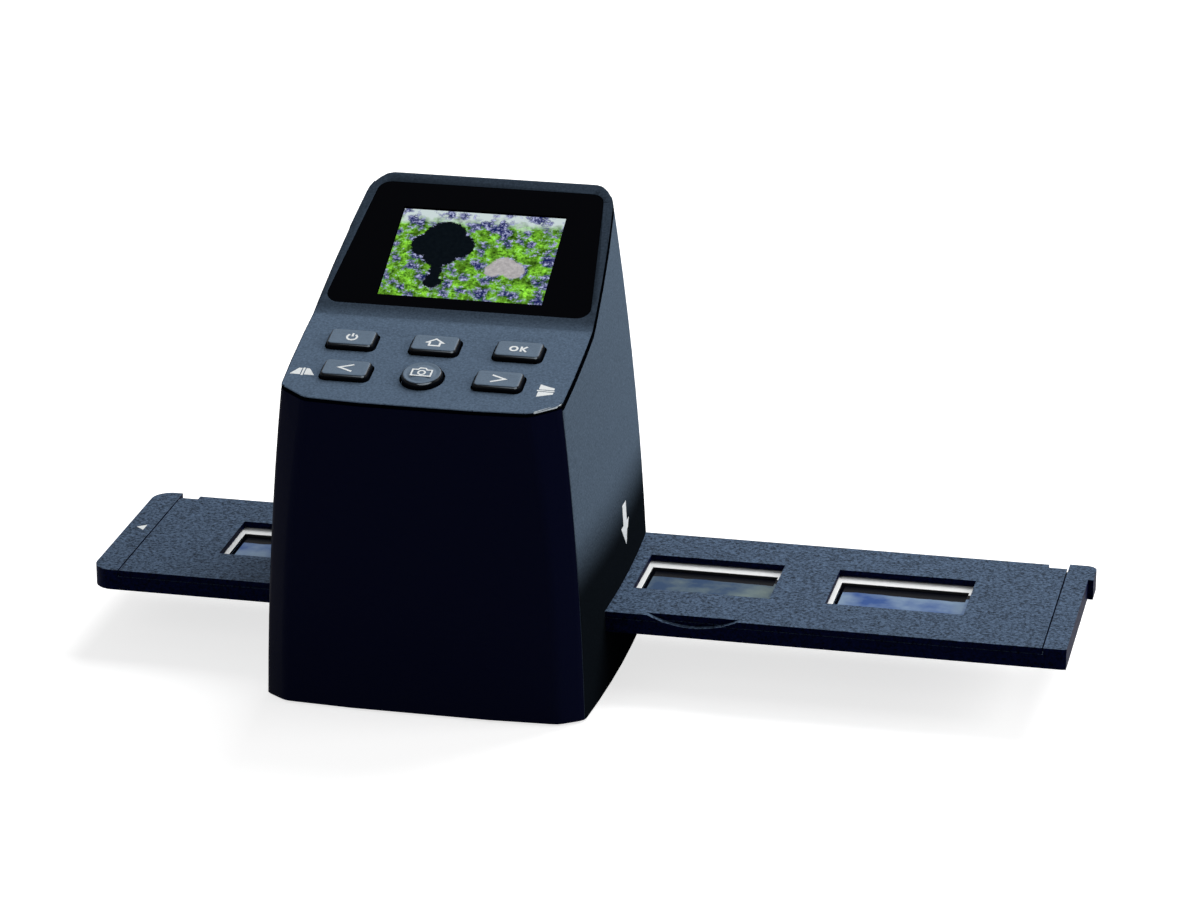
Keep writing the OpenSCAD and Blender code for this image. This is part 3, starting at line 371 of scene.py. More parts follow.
def film_finish(name):
    material, tree = new_material(name)
    place = add(tree, "ShaderNodeTexCoord").outputs["Object"]
    patch = add(tree, "ShaderNodeTexNoise", None,
                {"Vector": place, "Scale": 1000 / PATCH_MM, "Detail": 5.0})
    dye = add(tree, "ShaderNodeValToRGB", None, {"Fac": patch})
    for stop, position, tone in zip(dye.color_ramp.elements, (0.38, 0.62), ("#3a5a92", "#8aa0b2")):
        stop.position, stop.color = position, linear(tone)
    split = add(tree, "ShaderNodeSeparateXYZ", None, {"Vector": place})
    along = add(tree, "ShaderNodeMapRange", None,
                {"Value": split.outputs["X"], "From Min": film_low.x, "From Max": film_high.x})
    cast = add(tree, "ShaderNodeValToRGB", None, {"Fac": along})
    stops = cast.color_ramp.elements
    cast.color_ramp.interpolation = "CONSTANT"
    stops[0].color, stops[1].color = linear("#eef2ff"), linear("#d6d2bc")
    stops[1].position = WARM_START
    stops.new(WARM_END).color = linear("#eef2ff")
    tinted = add(tree, "ShaderNodeMix", TINT, {"Factor": 1.0, "A": dye, "B": cast})
    ragged = add(tree, "ShaderNodeMath", {"operation": "MULTIPLY_ADD"},
                 {0: patch, 1: RAGGED * MM, 2: split.outputs["Y"]})
    edge = (film_low.y + film_high.y) / 2 + (HALF_OPENING - FILM_BORDER) * MM
    border = add(tree, "ShaderNodeMapRange", None,
                 {"Value": ragged, "From Min": edge + 1.8 * MM, "From Max": edge + 2.2 * MM})
    shade = add(tree, "ShaderNodeMix", BLEND, {"Factor": border, "A": tinted, "B": linear("#05070f")})
    body = add(tree, "ShaderNodeBsdfPrincipled", None,
               {"Base Color": shade, "Roughness": 0.2, "IOR": 1.48, "Specular IOR Level": 0.02})
    add(tree, "ShaderNodeOutputMaterial", None, {"Surface": body})
    return material


wear(film_finish("cellulose film, developed"), "slide_films")
print("film from y =", round(film_low.y / MM, 1), "to", round(film_high.y / MM, 1), "mm")

# %% [markdown]
# ## Glass
# The screen's window is clear acrylic, printed black on its back except over the picture. The
# print reads as a deep black under a faint mirror, so one material covers both: distances
# from the picture's middle tell the window from the print. The lens elements are optical
# glass with a violet coating.

# %% Glass finishes
LCD_W, LCD_H = 48.96, 36.72                  # a 2.4 inch display
LCD_START = 9.2                              # from the crease up the slope to the picture
SMEAR_MM, LENS_SMEAR_MM = 9, 4


def printed_window(name):
    """Clear over the picture and printed black elsewhere."""
    material, tree = new_material(name)
    place = add(tree, "ShaderNodeTexCoord").outputs["Object"]
    middle = ON_SCREEN @ (Vector((0, LCD_START + LCD_H / 2, 0)) * MM)
    away = add(tree, "ShaderNodeVectorMath", {"operation": "SUBTRACT"}, {0: place, 1: tuple(middle)})
    sides = []
    for column, half in ((0, LCD_W / 2), (1, LCD_H / 2)):
        direction = tuple(ON_SCREEN.to_3x3().col[column])
        along = add(tree, "ShaderNodeVectorMath", {"operation": "DOT_PRODUCT"}, {0: away, 1: direction})
        distance = add(tree, "ShaderNodeMath", {"operation": "ABSOLUTE"}, {0: along})
        sides.append(add(tree, "ShaderNodeMath", {"operation": "LESS_THAN"}, {0: distance, 1: half * MM}))
    inside = add(tree, "ShaderNodeMath", {"operation": "MULTIPLY"}, {0: sides[0], 1: sides[1]})
    smear = add(tree, "ShaderNodeTexNoise", None,
                {"Vector": place, "Scale": 1000 / SMEAR_MM, "Detail": 2.0})
    rough = add(tree, "ShaderNodeMapRange", None, {"Value": smear, "To Min": 0.03, "To Max": 0.08})
    printed = add(tree, "ShaderNodeBsdfPrincipled", None,
                  {"Base Color": linear("#020307"), "Roughness": rough, "IOR": 1.49,
                   "Specular IOR Level": 0.01})
    clear = add(tree, "ShaderNodeBsdfTransparent")
    mix = add(tree, "ShaderNodeMixShader", None, {"Fac": inside, 1: printed, 2: clear})
    add(tree, "ShaderNodeOutputMaterial", None, {"Surface": mix})
    return material


def coated_glass(name, colour):
    material, tree = new_material(name)
    place = add(tree, "ShaderNodeTexCoord").outputs["Object"]
    smear = add(tree, "ShaderNodeTexNoise", None,
                {"Vector": place, "Scale": 1000 / LENS_SMEAR_MM, "Detail": 2.0})
    rough = add(tree, "ShaderNodeMapRange", None, {"Value": smear, "To Max": 0.03})
    body = add(tree, "ShaderNodeBsdfPrincipled", None,
               {"Base Color": linear(colour), "Roughness": rough, "IOR": 1.6, "Transmission Weight": 1.0})
    add(tree, "ShaderNodeOutputMaterial", None, {"Surface": body})
    return material


wear(printed_window("acrylic window, back-printed black"), "screen_glass")
wear(coated_glass("optical glass, coated", "#dfe6ff"), "lens_elements")
wear(mottled("black paint, display frame", "#020307", "#04060c", 0.5, 0.4, 0.1, gloss=0.1),
     "display_module")
print("glass set")

# %% [markdown]
# ## A solid from stacked outlines
# Key caps, filled symbols and the screen's lit plate are stacks of outlines joined by walls.
# One maker takes the outlines as lists of points, all with the same count, and closes both
# ends.

# %% Mesh makers


def piece_from(bm, name, material, body, matrix):
    """Turns a bmesh drawn in millimetres into a piece that rides on a body."""
    bmesh.ops.recalc_face_normals(bm, faces=bm.faces)
    mesh = bpy.data.meshes.new(name)
    bm.to_mesh(mesh)
    bm.free()
    mesh.transform(matrix @ Matrix.Scale(MM, 4))
    mesh.materials.append(material)
    piece = bpy.data.objects.new(name, mesh)
    bpy.context.scene.collection.objects.link(piece)
    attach(piece, body)
    return piece


def stack(bm, outlines):
    """Walls between outlines of 3-D points, with a face at each end."""
    rings = [[bm.verts.new(p) for p in outline] for outline in outlines]
    count = len(rings[0])
    for low, high in zip(rings, rings[1:]):
        for i in range(count):
            j = (i + 1) % count
            bm.faces.new((low[i], low[j], high[j], high[i]))
    bm.faces.new(list(reversed(rings[0])))
    bm.faces.new(rings[-1])


def rounded_outline(width, depth, radius, z, steps=8):
    """A rectangle round the middle, with rounded corners."""
    points = []
    for corner in range(4):
        sx = 1 if corner in (0, 3) else -1
        sy = 1 if corner < 2 else -1
        for i in range(steps + 1):
            a = math.radians(90 * (corner + i / steps))
            points.append((sx * (width / 2 - radius) + radius * math.cos(a),
                           sy * (depth / 2 - radius) + radius * math.sin(a), z))
    return points


print("outline of", len(rounded_outline(10, 8, 1, 0)), "points")

# %% [markdown]
# ## Key caps
# Each key is a moulded cap with a flange under the deck. Its top edge is rounded over 0.9 mm,
# so it catches a thin line of light, and its top is dished by a tenth of a millimetre. A pale
# painted highlight runs along the front edge; the slate top is painted light and the black
# sides are painted shade. The round capture key has a groove and a crown on top instead. A cap
# replaces the plain engineering key.

# %% Key caps
KEY_W, KEY_D, KEY_R, KEY_RISE = 13.8, 8.3, 1.6, 1.7
DISH, DISH_R, DISH_IN = 0.1, 0.6, 2          # its depth, corner radius and way in from the sides
CAPTURE_R, CAPTURE_RISE = 5.9, 1.8
GROOVE = ((1.5, 1.55), (1.9, 1.6))           # in from the side, and height
CROWN = (2, 1.95)                            # its radius and height
ROUNDING, LEAST_R = 0.9, 0.7                 # of a cap's top edge, and of its corners there
FLANGE_LOW, FLANGE_TOP, FLANGE_OUT = -3.1, -2.3, 1.7
STEM_R, STEM_LOW = 1.6, -5.3
UPPER_ROW, LOWER_ROW = DECK_LENGTH - 13.8, DECK_LENGTH - 29.5
KEYS = {
    "power_key": (-25.9, UPPER_ROW), "home_key": (-1.5, UPPER_ROW), "ok_key": (22.9, UPPER_ROW),
    "left_key": (-23.6, LOWER_ROW), "right_key": (20.6, LOWER_ROW),
}
CAPTURE = (-1.5, LOWER_ROW)
deck_normal = ON_DECK.to_3x3() @ Vector((0, 0, 1))
upper_middle = ON_DECK @ Vector((0, UPPER_ROW * MM, 0))
# painted light on the slate tops, painted shade on the black sides, a painted highlight on front edges
key_plastic = moulded("ABS, key caps", [(0.84, "#05070d"), (0.985, "#67798c")], tuple(deck_normal),
                      grain_mm=0.5, contrast=0.12, roughness=0.34, gloss=0.06, bump=0.15,
                      glint=dict(direction=(0.25, -0.82, 0.51), lean=0.955, tone="#b4c0ca",
                                 middle=tuple(upper_middle), reach=60))


def on_deck(x, y, z=0.0):
    """Sets something on the deck, at a place in millimetres."""
    return ON_DECK @ Matrix.Translation((x * MM, y * MM, z * MM))


def circle_outline(radius, z, count=48):
    angles = [2 * math.pi * i / count for i in range(count)]
    return [(radius * math.cos(a), radius * math.sin(a), z) for a in angles]


def smooth(piece, degrees=35):
    """Smooth shading, with edges sharper than this kept crisp."""
    for polygon in piece.data.polygons:
        polygon.use_smooth = True
    piece.data.set_sharp_from_angle(angle=math.radians(degrees))


def edge_profile(height, radius, steps=5):
    """Insets and heights of a rounded top edge."""
    angles = [math.radians(90 * i / steps) for i in range(steps + 1)]
    return [(radius * (1 - math.cos(a)), height - radius + radius * math.sin(a)) for a in angles]


def key_cap(name, place, outlines):
    """A cap with a stem under it, in place of the engineering key."""
    shape = bmesh.new()
    stack(shape, outlines)
    stack(shape, [circle_outline(STEM_R, z, 24) for z in (STEM_LOW, FLANGE_LOW + 0.1)])
    piece = piece_from(shape, name + "_cap", key_plastic, name, on_deck(*place))
    smooth(piece)
    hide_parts(name)


for name, place in KEYS.items():
    outlines = [rounded_outline(KEY_W + 2 * FLANGE_OUT, KEY_D + 2 * FLANGE_OUT, KEY_R, z)
                for z in (FLANGE_LOW, FLANGE_TOP)]
    outlines += [rounded_outline(KEY_W, KEY_D, KEY_R, FLANGE_TOP)]
    for inset, z in edge_profile(KEY_RISE, ROUNDING):
        corner = max(KEY_R - inset, LEAST_R)
        outlines.append(rounded_outline(KEY_W - 2 * inset, KEY_D - 2 * inset, corner, z))
    outlines.append(rounded_outline(KEY_W - 2 * DISH_IN, KEY_D - 2 * DISH_IN, DISH_R, KEY_RISE - DISH))
    key_cap(name, place, outlines)

outlines = [circle_outline(CAPTURE_R + FLANGE_OUT, z) for z in (FLANGE_LOW, FLANGE_TOP)]
outlines += [circle_outline(CAPTURE_R, FLANGE_TOP)]
for inset, z in edge_profile(CAPTURE_RISE, ROUNDING) + list(GROOVE):
    outlines.append(circle_outline(CAPTURE_R - inset, z))
key_cap("capture_key", CAPTURE, outlines + [circle_outline(*CROWN)])
print("key caps:", len(KEYS) + 1)

# %% [markdown]
# ## White printed symbols
# The symbols are pad printed: a film of white ink a few hundredths of a millimetre thick. Each
# is drawn from ribbons, which are lines with a width, and filled shapes.

# %% Ink and drawing helpers
white_ink = mottled("pad printing ink, white", "#e6ecee", "#f6f9fa", 0.4, 0.5, 0.1)
black_strip_finish = mottled("black strip, matte", "#020308", "#05070d", 0.4, 0.6, 0.1, gloss=0.0)
INK = 0.03
MITRE_LIMIT = 0.4                            # keeps the tip of a sharp corner short


def ribbon(bm, points, width, closed=False):
    """A flat line of the given width along 2-D points, as a thin solid."""
    path = [Vector(p) for p in points]
    count = len(path)
    left, right = [], []
    for i, p in enumerate(path):
        before = path[i - 1] if closed or i else None
        after = path[(i + 1) % count] if closed or i < count - 1 else None
        into = (p - before).normalized() if before is not None else (after - p).normalized()
        out = (after - p).normalized() if after is not None else into
        side = Vector((-(into + out).y, (into + out).x)).normalized()
        reach = width / 2 / max(side.dot(Vector((-into.y, into.x))), MITRE_LIMIT)
        left.append(p + side * reach)
        right.append(p - side * reach)
    low_l, top_l, low_r, top_r = [[bm.verts.new((q.x, q.y, z)) for q in line]
                                  for line in (left, right) for z in (0.0, INK)]
    for i in range(count if closed else count - 1):
        j = (i + 1) % count
        bm.faces.new((top_l[i], top_l[j], top_r[j], top_r[i]))
        bm.faces.new((low_l[i], low_r[i], low_r[j], low_l[j]))
        bm.faces.new((low_l[i], low_l[j], top_l[j], top_l[i]))
        bm.faces.new((low_r[i], top_r[i], top_r[j], low_r[j]))
    if not closed:
        bm.faces.new((low_l[0], top_l[0], top_r[0], low_r[0]))
        bm.faces.new((low_l[-1], low_r[-1], top_r[-1], top_l[-1]))


def filled(bm, points):
    """A filled shape with straight edges, as a thin solid."""
    stack(bm, [[(x, y, z) for x, y in points] for z in (0.0, INK)])


def rectangle(left, front, right, rear):
    return [(left, front), (right, front), (right, rear), (left, rear)]


def arc(cx, cy, radius, start, end, count=20):
    """Points along an arc, with its angles in degrees."""
    angles = [math.radians(start + (end - start) * i / count) for i in range(count + 1)]
    return [(cx + radius * math.cos(a), cy + radius * math.sin(a)) for a in angles]


print("ink thickness, mm:", INK)

# %% [markdown]
# ## Key symbols
# Each symbol is drawn round the middle of its key, in millimetres, and placed on the key's
# top. It rides the key's own body, so it goes down when the key is pressed.

# %% Symbols on the keys
LINE, FINE_LINE = 0.6, 0.5
ON_DISH, ON_CROWN = KEY_RISE - 0.08, 1.98    # heights that the symbols lie at
ROOF = [(1.5, 0.2), (2.3, 0.2), (0, 2.0), (-2.3, 0.2), (-1.5, 0.2)]
CAMERA_TOP = [(2.8, 1.2), (1.3, 1.2), (0.8, 2.0), (-0.8, 2.0), (-1.3, 1.2), (-2.8, 1.2)]
symbols = {name: bmesh.new() for name in list(KEYS) + ["capture_key"]}
ribbon(symbols["power_key"], arc(0, 0, 1.45, 125, 415), LINE)
ribbon(symbols["power_key"], [(0, 0.3), (0, 1.9)], LINE)
ribbon(symbols["home_key"], [(-1.5, -1.4), (1.5, -1.4)] + ROOF, LINE, closed=True)
ribbon(symbols["ok_key"], arc(-1.4, 0, 1.05, 0, 342), LINE, closed=True)
ribbon(symbols["ok_key"], [(0.75, -1.3), (0.75, 1.3)], LINE)
ribbon(symbols["ok_key"], [(2.35, 1.3), (1.15, 0), (2.35, -1.3)], LINE)
ribbon(symbols["left_key"], [(2.0, 1.7), (-2.0, 0), (2.0, -1.7)], LINE)
ribbon(symbols["right_key"], [(-2.0, 1.7), (2.0, 0), (-2.0, -1.7)], LINE)
ribbon(symbols["capture_key"], [(-2.8, -1.8), (2.8, -1.8)] + CAMERA_TOP, FINE_LINE, closed=True)
ribbon(symbols["capture_key"], arc(0, -0.25, 1.0, 0, 342), FINE_LINE, closed=True)
for name, drawing in symbols.items():
    x, y = KEYS.get(name, CAPTURE)
    height = ON_CROWN if name == "capture_key" else ON_DISH
    piece = piece_from(drawing, name + "_symbol", white_ink, name, on_deck(x, y, height))
print("symbols on keys:", len(symbols))

# %% [markdown]
# ## Symbols beside the keys
# Left of the arrow keys two wedges mirror each other sideways, and right of them two mirror
# each other up and down: the keys also flip the picture.

# %% Symbols on the deck
flip_sideways = bmesh.new()
filled(flip_sideways, [(-3.6, -1.5), (-0.6, -1.5), (-0.6, 1.7), (-1.6, 1.7)])
filled(flip_sideways, [(0.6, -1.5), (3.6, -1.5), (1.6, 1.7), (0.6, 1.7)])
filled(flip_sideways, rectangle(-0.3, -1.9, 0.3, 1.9))
flip_over = bmesh.new()
filled(flip_over, [(-2.1, 0.6), (2.3, 0.6), (2.3, 1.5), (-2.1, 3.1)])
filled(flip_over, [(-2.1, -3.1), (2.3, -1.5), (2.3, -0.6), (-2.1, -0.6)])
filled(flip_over, rectangle(-2.5, -0.25, 2.5, 0.25))
for name, drawing, x, y in (("flip_sideways_mark", flip_sideways, -36.0, DECK_LENGTH - 30.6),
                            ("flip_over_mark", flip_over, 34.6, DECK_LENGTH - 31.5)):
    piece = piece_from(drawing, name, white_ink, "housing", on_deck(x, y))
print("deck marks: 2")

# %% [markdown]
# ## Film edges in the windows
# A piece of film is a little longer than the picture on it. In each window a narrow strip of
# film shows on the mount at the right, and a black strip at the left ends the picture.
# Both are thin plates that ride the tray. They repeat for the four frames.

# %% Film edges in the windows
FRAMES = (-91.4, -34.6, 34.6, 91.4)          # the windows' middles, from the tray's middle
STRIP = rectangle(18.7, -11.3, 20.6, 9.2)    # film on the mount, from a window's middle
MASK = rectangle(-18.7, -11.2, -17.7, 11.2)
mount_low, mount_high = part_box("slide_mounts")
middle_y = (mount_low.y + mount_high.y) / 2
film_material = nodes["slide_films"].data.materials[0]
for i, x in enumerate(FRAMES):
    middle_x = (tray_low.x + tray_high.x) / 2 + x * MM
    strip = bmesh.new()
    filled(strip, STRIP)
    piece = piece_from(strip, "film_edge_%d" % (i + 1), film_material, "tray",
                       Matrix.Translation((middle_x, middle_y, mount_high.z)))
    mask = bmesh.new()
    filled(mask, MASK)
    piece = piece_from(mask, "film_mask_%d" % (i + 1), black_strip_finish, "tray",
                       Matrix.Translation((middle_x, middle_y, film_high.z)))
print("film edges and masks:", 2 * len(FRAMES))

# %% [markdown]
# ## Marks on the tray and the right wall
# A triangle marks the tray's end, and an arrow on the right wall shows which way the tray goes
# in. The wall leans and curves, so each corner of the arrow is found by a ray: it starts well
# to the right, runs left, and stops where it hits the shell.

# %% Marks on the tray and the right wall
END_MARK = (4.4, 34.9)                       # its middle, from the tray's front left corner
mark = bmesh.new()
filled(mark, [(-1.4, 0.1), (1.2, -2.1), (1.2, 2.1)])
piece = piece_from(mark, "tray_end_mark", white_ink, "tray", Matrix.Translation(
    (tray_low.x + END_MARK[0] * MM, tray_low.y + END_MARK[1] * MM, tray_high.z)))

ARROW = [(0, -6.4), (5.4, 0.2), (2.4, 0.2), (2.4, 6.4), (-2.4, 6.4), (-2.4, 0.2), (-5.4, 0.2)]
ARROW_DEPTH, ARROW_HEIGHT = 11.8, 40.1       # its middle on the right wall
RAY_START = 200                              # well to the right of the wall
shell = nodes["body_shell"]
corners = []
for across, up in ARROW:
    y, z = HOUSING.y + (ARROW_DEPTH + across) * MM, (ARROW_HEIGHT + up) * MM
    _, corner, _, _ = shell.ray_cast(Vector((RAY_START * MM, y, z)), Vector((-1, 0, 0)))
    corners.append(corner / MM)
arrow = bmesh.new()
stack(arrow, [[(x + lift, y, z) for x, y, z in corners] for lift in (0.0, INK)])
piece = piece_from(arrow, "insert_arrow", white_ink, "housing", Matrix.Identity(4))
print("arrow on the wall at x, mm:", round(corners[0].x, 1))

# %% [markdown]
# ## Softened shells
# Every moulded edge has a small radius, and light catches on it. Each outer shell gets a copy
# with welded corners and smooth shading, so the curved walls show no flats. A bevel rounds
# the edges sharper than 40 degrees, and weighted normals keep the large faces flat. On the
# bezel only the edges along the housing's outline are rounded. The copy stands in for the
# engineering node, inside the same space.

# %% Softened copies
SHARP_ANGLE = math.radians(40)
SIDE_X, FRONT_ZONE, REAR_ZONE = 39, 6.8, 9   # where the outline's edges lie: x, and depths
WELD = 0.002                                 # corners closer than this are one


def on_rim(edge):
    """Whether an edge lies by the housing's outline, next to a face that looks outwards."""
    middle = (edge.verts[0].co + edge.verts[1].co) / 2 - HOUSING
    side = math.copysign(1, middle.x) if abs(middle.x) > SIDE_X * MM else 0
    front = middle.y < (FRONT_Y + FRONT_ZONE) * MM
    rear = middle.y > shell_high.y - HOUSING.y - REAR_ZONE * MM
    return any(face.normal.x * side > 0.5 or (front and face.normal.y < -0.5)
               or (rear and face.normal.y > 0.3) for face in edge.link_faces)


def soften(name, body, width, rim_only=False):
    """A copy of an engineering node with rounded edges, which replaces it."""
    source = nodes[name].data
    shape = bmesh.new()
    shape.from_mesh(source)
    bmesh.ops.remove_doubles(shape, verts=shape.verts, dist=WELD * MM)
    weight = shape.edges.layers.float.new("bevel_weight_edge")
    for edge in shape.edges:
        if edge.calc_face_angle(0) > SHARP_ANGLE and (on_rim(edge) or not rim_only):
            edge[weight] = 1.0
    mesh = bpy.data.meshes.new(name + "_soft")
    shape.to_mesh(mesh)
    shape.free()
    mesh.materials.clear()
    mesh.materials.append(source.materials[0])
    piece = bpy.data.objects.new(name + "_soft", mesh)
    bpy.context.scene.collection.objects.link(piece)
    smooth(piece, 30)
    bevel = piece.modifiers.new("rounded edges", "BEVEL")
    bevel.width, bevel.segments = width * MM, 2
    bevel.limit_method, bevel.use_clamp_overlap = "WEIGHT", not rim_only
    flat = piece.modifiers.new("flat faces", "WEIGHTED_NORMAL")
    flat.keep_sharp = True
    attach(piece, body)
    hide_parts(name)


SHELLS = [("top_bezel", "housing", 0.45, "case_matte"), ("front_panel", "housing", 0.4, "panel_gloss"),
          ("body_shell", "housing", 0.3, "case_matte"), ("tray_base", "tray", 0.25, "tray_matte"),
          ("tray_cover", "tray", 0.2, "tray_matte"), ("slide_mounts", "tray", 0.1, "mount_white")]
for name, body, width, slot in SHELLS:
    soften(name, body, width, rim_only=name == "top_bezel")
print("softened shells:", len(SHELLS))

# %% [markdown]
# ## The screen's picture
# Behind the clear part of the window lies the display. The picture is a pale sky over a green
# meadow with blue flowers, a boulder and one dark round tree. It is drawn by noise and by
# distances from the middles of discs, in picture heights from its lower left corner.

# %% Layers of the picture
SCREEN_RATIO = 1.33
BRIGHTNESS = 1.2
TREE = ((0.40, 0.70, 0.18), (0.28, 0.61, 0.14), (0.52, 0.61, 0.14), (0.40, 0.52, 0.15),
        (0.40, 0.40, 0.06), (0.40, 0.33, 0.055), (0.40, 0.26, 0.055), (0.40, 0.20, 0.075))
BOULDER = ((0.93, 0.42, 0.10), (1.02, 0.38, 0.09), (0.86, 0.37, 0.07))


def blob_mask(tree, flat, ragged, blobs):
    """1 inside a union of discs with ragged edges, each disc given as x, y and radius."""
    inside = 0.0
    for x, y, radius in blobs:
        away = add(tree, "ShaderNodeVectorMath", {"operation": "DISTANCE"}, {0: flat, 1: (x, y, 0)})
        reach = add(tree, "ShaderNodeMath", {"operation": "MULTIPLY_ADD"}, {0: ragged, 1: 0.1, 2: away})
        disc = add(tree, "ShaderNodeMapRange", None,
                   {"Value": reach, "From Min": radius + 0.055, "From Max": radius + 0.045})
        inside = add(tree, "ShaderNodeMath", {"operation": "MAXIMUM"}, {0: inside, 1: disc})
    return inside


def landscape(tree, flat, up, blades):
    """Grass in light and dark patches, with the sky over it."""
    grass = add(tree, "ShaderNodeValToRGB", None, {"Fac": blades})
    for stop, position, tone in zip(grass.color_ramp.elements, (0.38, 0.6), ("#153a10", "#8ad63c")):
        stop.position, stop.color = position, linear(tone)
    haze = add(tree, "ShaderNodeTexNoise", None, {"Vector": flat, "Scale": 9.0, "Detail": 3.0})
    patches = add(tree, "ShaderNodeMapRange", None,
                  {"Value": haze, "From Min": 0.35, "From Max": 0.62, "To Min": 0.3, "To Max": 1.2})
    lawn = add(tree, "ShaderNodeMix", TINT, {"Factor": 1.0, "A": grass, "B": patches})
    edge = add(tree, "ShaderNodeMath", {"operation": "MULTIPLY_ADD"}, {0: haze, 1: 0.3, 2: up})
    sky = add(tree, "ShaderNodeMapRange", None, {"Value": edge, "From Min": 0.98, "From Max": 1.08})
    return add(tree, "ShaderNodeMix", BLEND, {"Factor": sky, "A": lawn, "B": linear("#b9c6c6")})


def flowers(tree, flat, blades, backdrop):
    """Drifts of blue flowers over a backdrop."""
    drift = add(tree, "ShaderNodeTexNoise", None,
                {"Vector": flat, "Scale": 6.5, "Detail": 6.0, "Roughness": 0.72})
    petals = add(tree, "ShaderNodeMapRange", None, {"Value": drift, "From Min": 0.5, "From Max": 0.54})
    bloom = add(tree, "ShaderNodeValToRGB", None, {"Fac": blades})
    for stop, position, tone in zip(bloom.color_ramp.elements, (0.49, 0.64), ("#141c52", "#b4bade")):
        stop.position, stop.color = position, linear(tone)
    return add(tree, "ShaderNodeMix", BLEND, {"Factor": petals, "A": backdrop, "B": bloom})


def meadow(name):
    """A lit picture, drawn over the map called picture."""
    material, tree = new_material(name)
    uv = add(tree, "ShaderNodeUVMap", {"uv_map": "picture"})
    split = add(tree, "ShaderNodeSeparateXYZ", None, {"Vector": uv})
    up = split.outputs["Y"]
    across = add(tree, "ShaderNodeMath", {"operation": "MULTIPLY"},
                 {0: split.outputs["X"], 1: SCREEN_RATIO})
    flat = add(tree, "ShaderNodeCombineXYZ", None, {"X": across, "Y": up})
    blades = add(tree, "ShaderNodeTexNoise", None,
                 {"Vector": flat, "Scale": 26.0, "Detail": 5.0, "Roughness": 0.8})
    colour = flowers(tree, flat, blades, landscape(tree, flat, up, blades))
    for blobs, dark, pale in ((TREE, "#000105", "#10171c"), (BOULDER, "#4c4a52", "#d2cecd")):
        layer = add(tree, "ShaderNodeMix", BLEND, {"Factor": blades, "A": linear(dark), "B": linear(pale)})
        mask = blob_mask(tree, flat, blades, blobs)
        colour = add(tree, "ShaderNodeMix", BLEND, {"Factor": mask, "A": colour, "B": layer})
    light = add(tree, "ShaderNodeEmission", None, {"Color": colour, "Strength": BRIGHTNESS})
    add(tree, "ShaderNodeOutputMaterial", None, {"Surface": light})
    return material


print("picture layers: landscape, flowers, tree, boulder")

# %% [markdown]
# ## The lit plate
# The picture glows by itself, as a display does. Its plate lies just over the display, which
# is 0.9 mm under the window's face, and its map is worked out from where each corner is on
# the slope.

# %% Screen picture
LCD_DEPTH = 0.9
PLATE, PLATE_TOP = 0.04, 0.05                # its thickness, and its top over the display
picture = bmesh.new()
x, y = LCD_W / 2, LCD_H / 2
stack(picture, [[(-x, -y, z), (x, -y, z), (x, y, z), (-x, y, z)] for z in (-PLATE, 0.0)])
piece = piece_from(picture, "screen_picture", meadow("liquid crystal picture"), "housing",
                   ON_SCREEN @ Matrix.Translation((0, (LCD_START + y) * MM, (PLATE_TOP - LCD_DEPTH) * MM)))
layer = piece.data.uv_layers.new(name="picture")
to_screen = ON_SCREEN.inverted()
for loop in piece.data.loops:
    local = to_screen @ piece.data.vertices[loop.vertex_index].co / MM
    layer.data[loop.index].uv = ((local.x + LCD_W / 2) / LCD_W, (local.y - LCD_START) / LCD_H)
print("picture, mm:", LCD_W, "x", LCD_H)

# %% [markdown]
# ## The floor
# A plain pale floor carries the object and keeps its shadow. Further out, where the lamps no
# longer reach it, it glows more and so stays white. Light Path tells which ray asks: those that
# see the backdrop get pale paper, and all others get a darker floor, which throws little light
# up at the object.

# %% Floor


def backdrop_rays(tree):
    """1 for rays that see the backdrop: from the camera, by a mirror or through glass."""
    path = add(tree, "ShaderNodeLightPath").outputs
    mirror = add(tree, "ShaderNodeMath", {"operation": "MAXIMUM"},
                 {0: path["Is Camera Ray"], 1: path["Is Glossy Ray"]})
    return add(tree, "ShaderNodeMath", {"operation": "MAXIMUM"},
               {0: mirror, 1: path["Is Transmission Ray"]})


FLOOR_HALF, FIBRE_MM = 6, 2.5                # in m and in mm
NEAR_GLOW, FAR_GLOW = (0.5, 0.72), (1.5, 1.0)   # distance in m, and strength
floor_material, tree = new_material("paper sweep, pale")
place = add(tree, "ShaderNodeTexCoord").outputs["Object"]
fibre = add(tree, "ShaderNodeTexNoise", None,
            {"Vector": place, "Scale": 1000 / FIBRE_MM, "Detail": 3.0})
shade = add(tree, "ShaderNodeMix", BLEND, {"Factor": fibre, "A": linear("#dcdcdc"), "B": linear("#e4e4e4")})
paper = add(tree, "ShaderNodeBsdfDiffuse", None, {"Color": shade})
dim = add(tree, "ShaderNodeBsdfDiffuse", None, {"Color": linear("#7c7f85")})
far = add(tree, "ShaderNodeVectorMath", {"operation": "LENGTH"}, {0: place})
level = add(tree, "ShaderNodeMapRange", None,
            {"Value": far, "From Min": NEAR_GLOW[0], "From Max": FAR_GLOW[0],
             "To Min": NEAR_GLOW[1], "To Max": FAR_GLOW[1]})
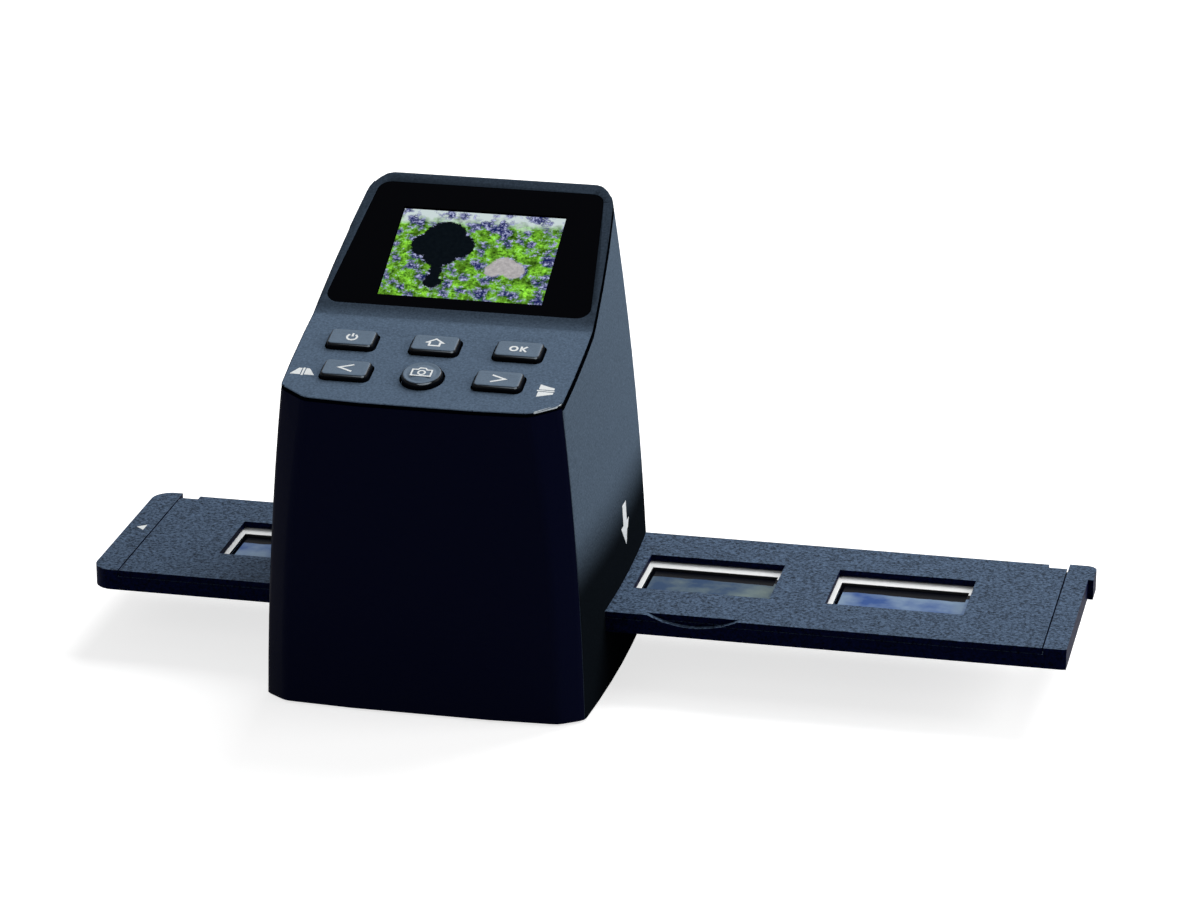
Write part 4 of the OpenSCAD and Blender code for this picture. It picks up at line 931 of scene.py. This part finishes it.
glow = add(tree, "ShaderNodeEmission", None, {"Color": linear("#ffffff"), "Strength": level})
lit = add(tree, "ShaderNodeAddShader", None, {0: paper, 1: glow})
mix = add(tree, "ShaderNodeMixShader", None, {"Fac": backdrop_rays(tree), 1: dim, 2: lit})
add(tree, "ShaderNodeOutputMaterial", None, {"Surface": mix})
floor_mesh = bpy.data.meshes.new("floor")
corners = rectangle(-FLOOR_HALF, -FLOOR_HALF, FLOOR_HALF, FLOOR_HALF)
floor_mesh.from_pydata([(x, y, 0) for x, y in corners], [], [(0, 1, 2, 3)])
floor_mesh.materials.append(floor_material)
floor = bpy.data.objects.new("floor", floor_mesh)
bpy.context.scene.collection.objects.link(floor)
print("floor set")

# %% [markdown]
# ## The world and the lamps
# Broad soft lamps light the object. The big lamp hangs behind and above, so that level faces
# shine and the front stays dark. Camera rays and mirror rays see a white world, and the soft
# light that the world itself gives is kept low.

# %% World and lamps
world = bpy.data.worlds.new("studio")
bpy.context.scene.world = world
world.use_nodes = True
tree = world.node_tree
tree.nodes.clear()
WORLD_LIGHT, WORLD_SEEN = 0.15, 1.0
level = add(tree, "ShaderNodeMapRange", None,
            {"Value": backdrop_rays(tree), "To Min": WORLD_LIGHT, "To Max": WORLD_SEEN})
sky = add(tree, "ShaderNodeBackground", None, {"Color": linear("#ffffff"), "Strength": level})
add(tree, "ShaderNodeOutputWorld", None, {"Surface": sky})


def lamp(name, place, size, watts):
    """A round soft lamp that looks at the object, with its place and size in metres."""
    data = bpy.data.lights.new(name, "AREA")
    data.shape, data.size, data.energy = "DISK", size, watts
    light = bpy.data.objects.new(name, data)
    bpy.context.scene.collection.objects.link(light)
    light.location = place
    light.rotation_euler = (-Vector(place)).to_track_quat("-Z", "Y").to_euler()


lamp("back softbox", place=(0.5, 1.3, 1.7), size=1.4, watts=40)
lamp("right softbox", place=(1.6, 0.2, 0.9), size=0.9, watts=11)
lamp("front fill", place=(-0.6, -1.6, 1.3), size=1.2, watts=4)
bpy.context.scene.view_settings.view_transform = "Standard"
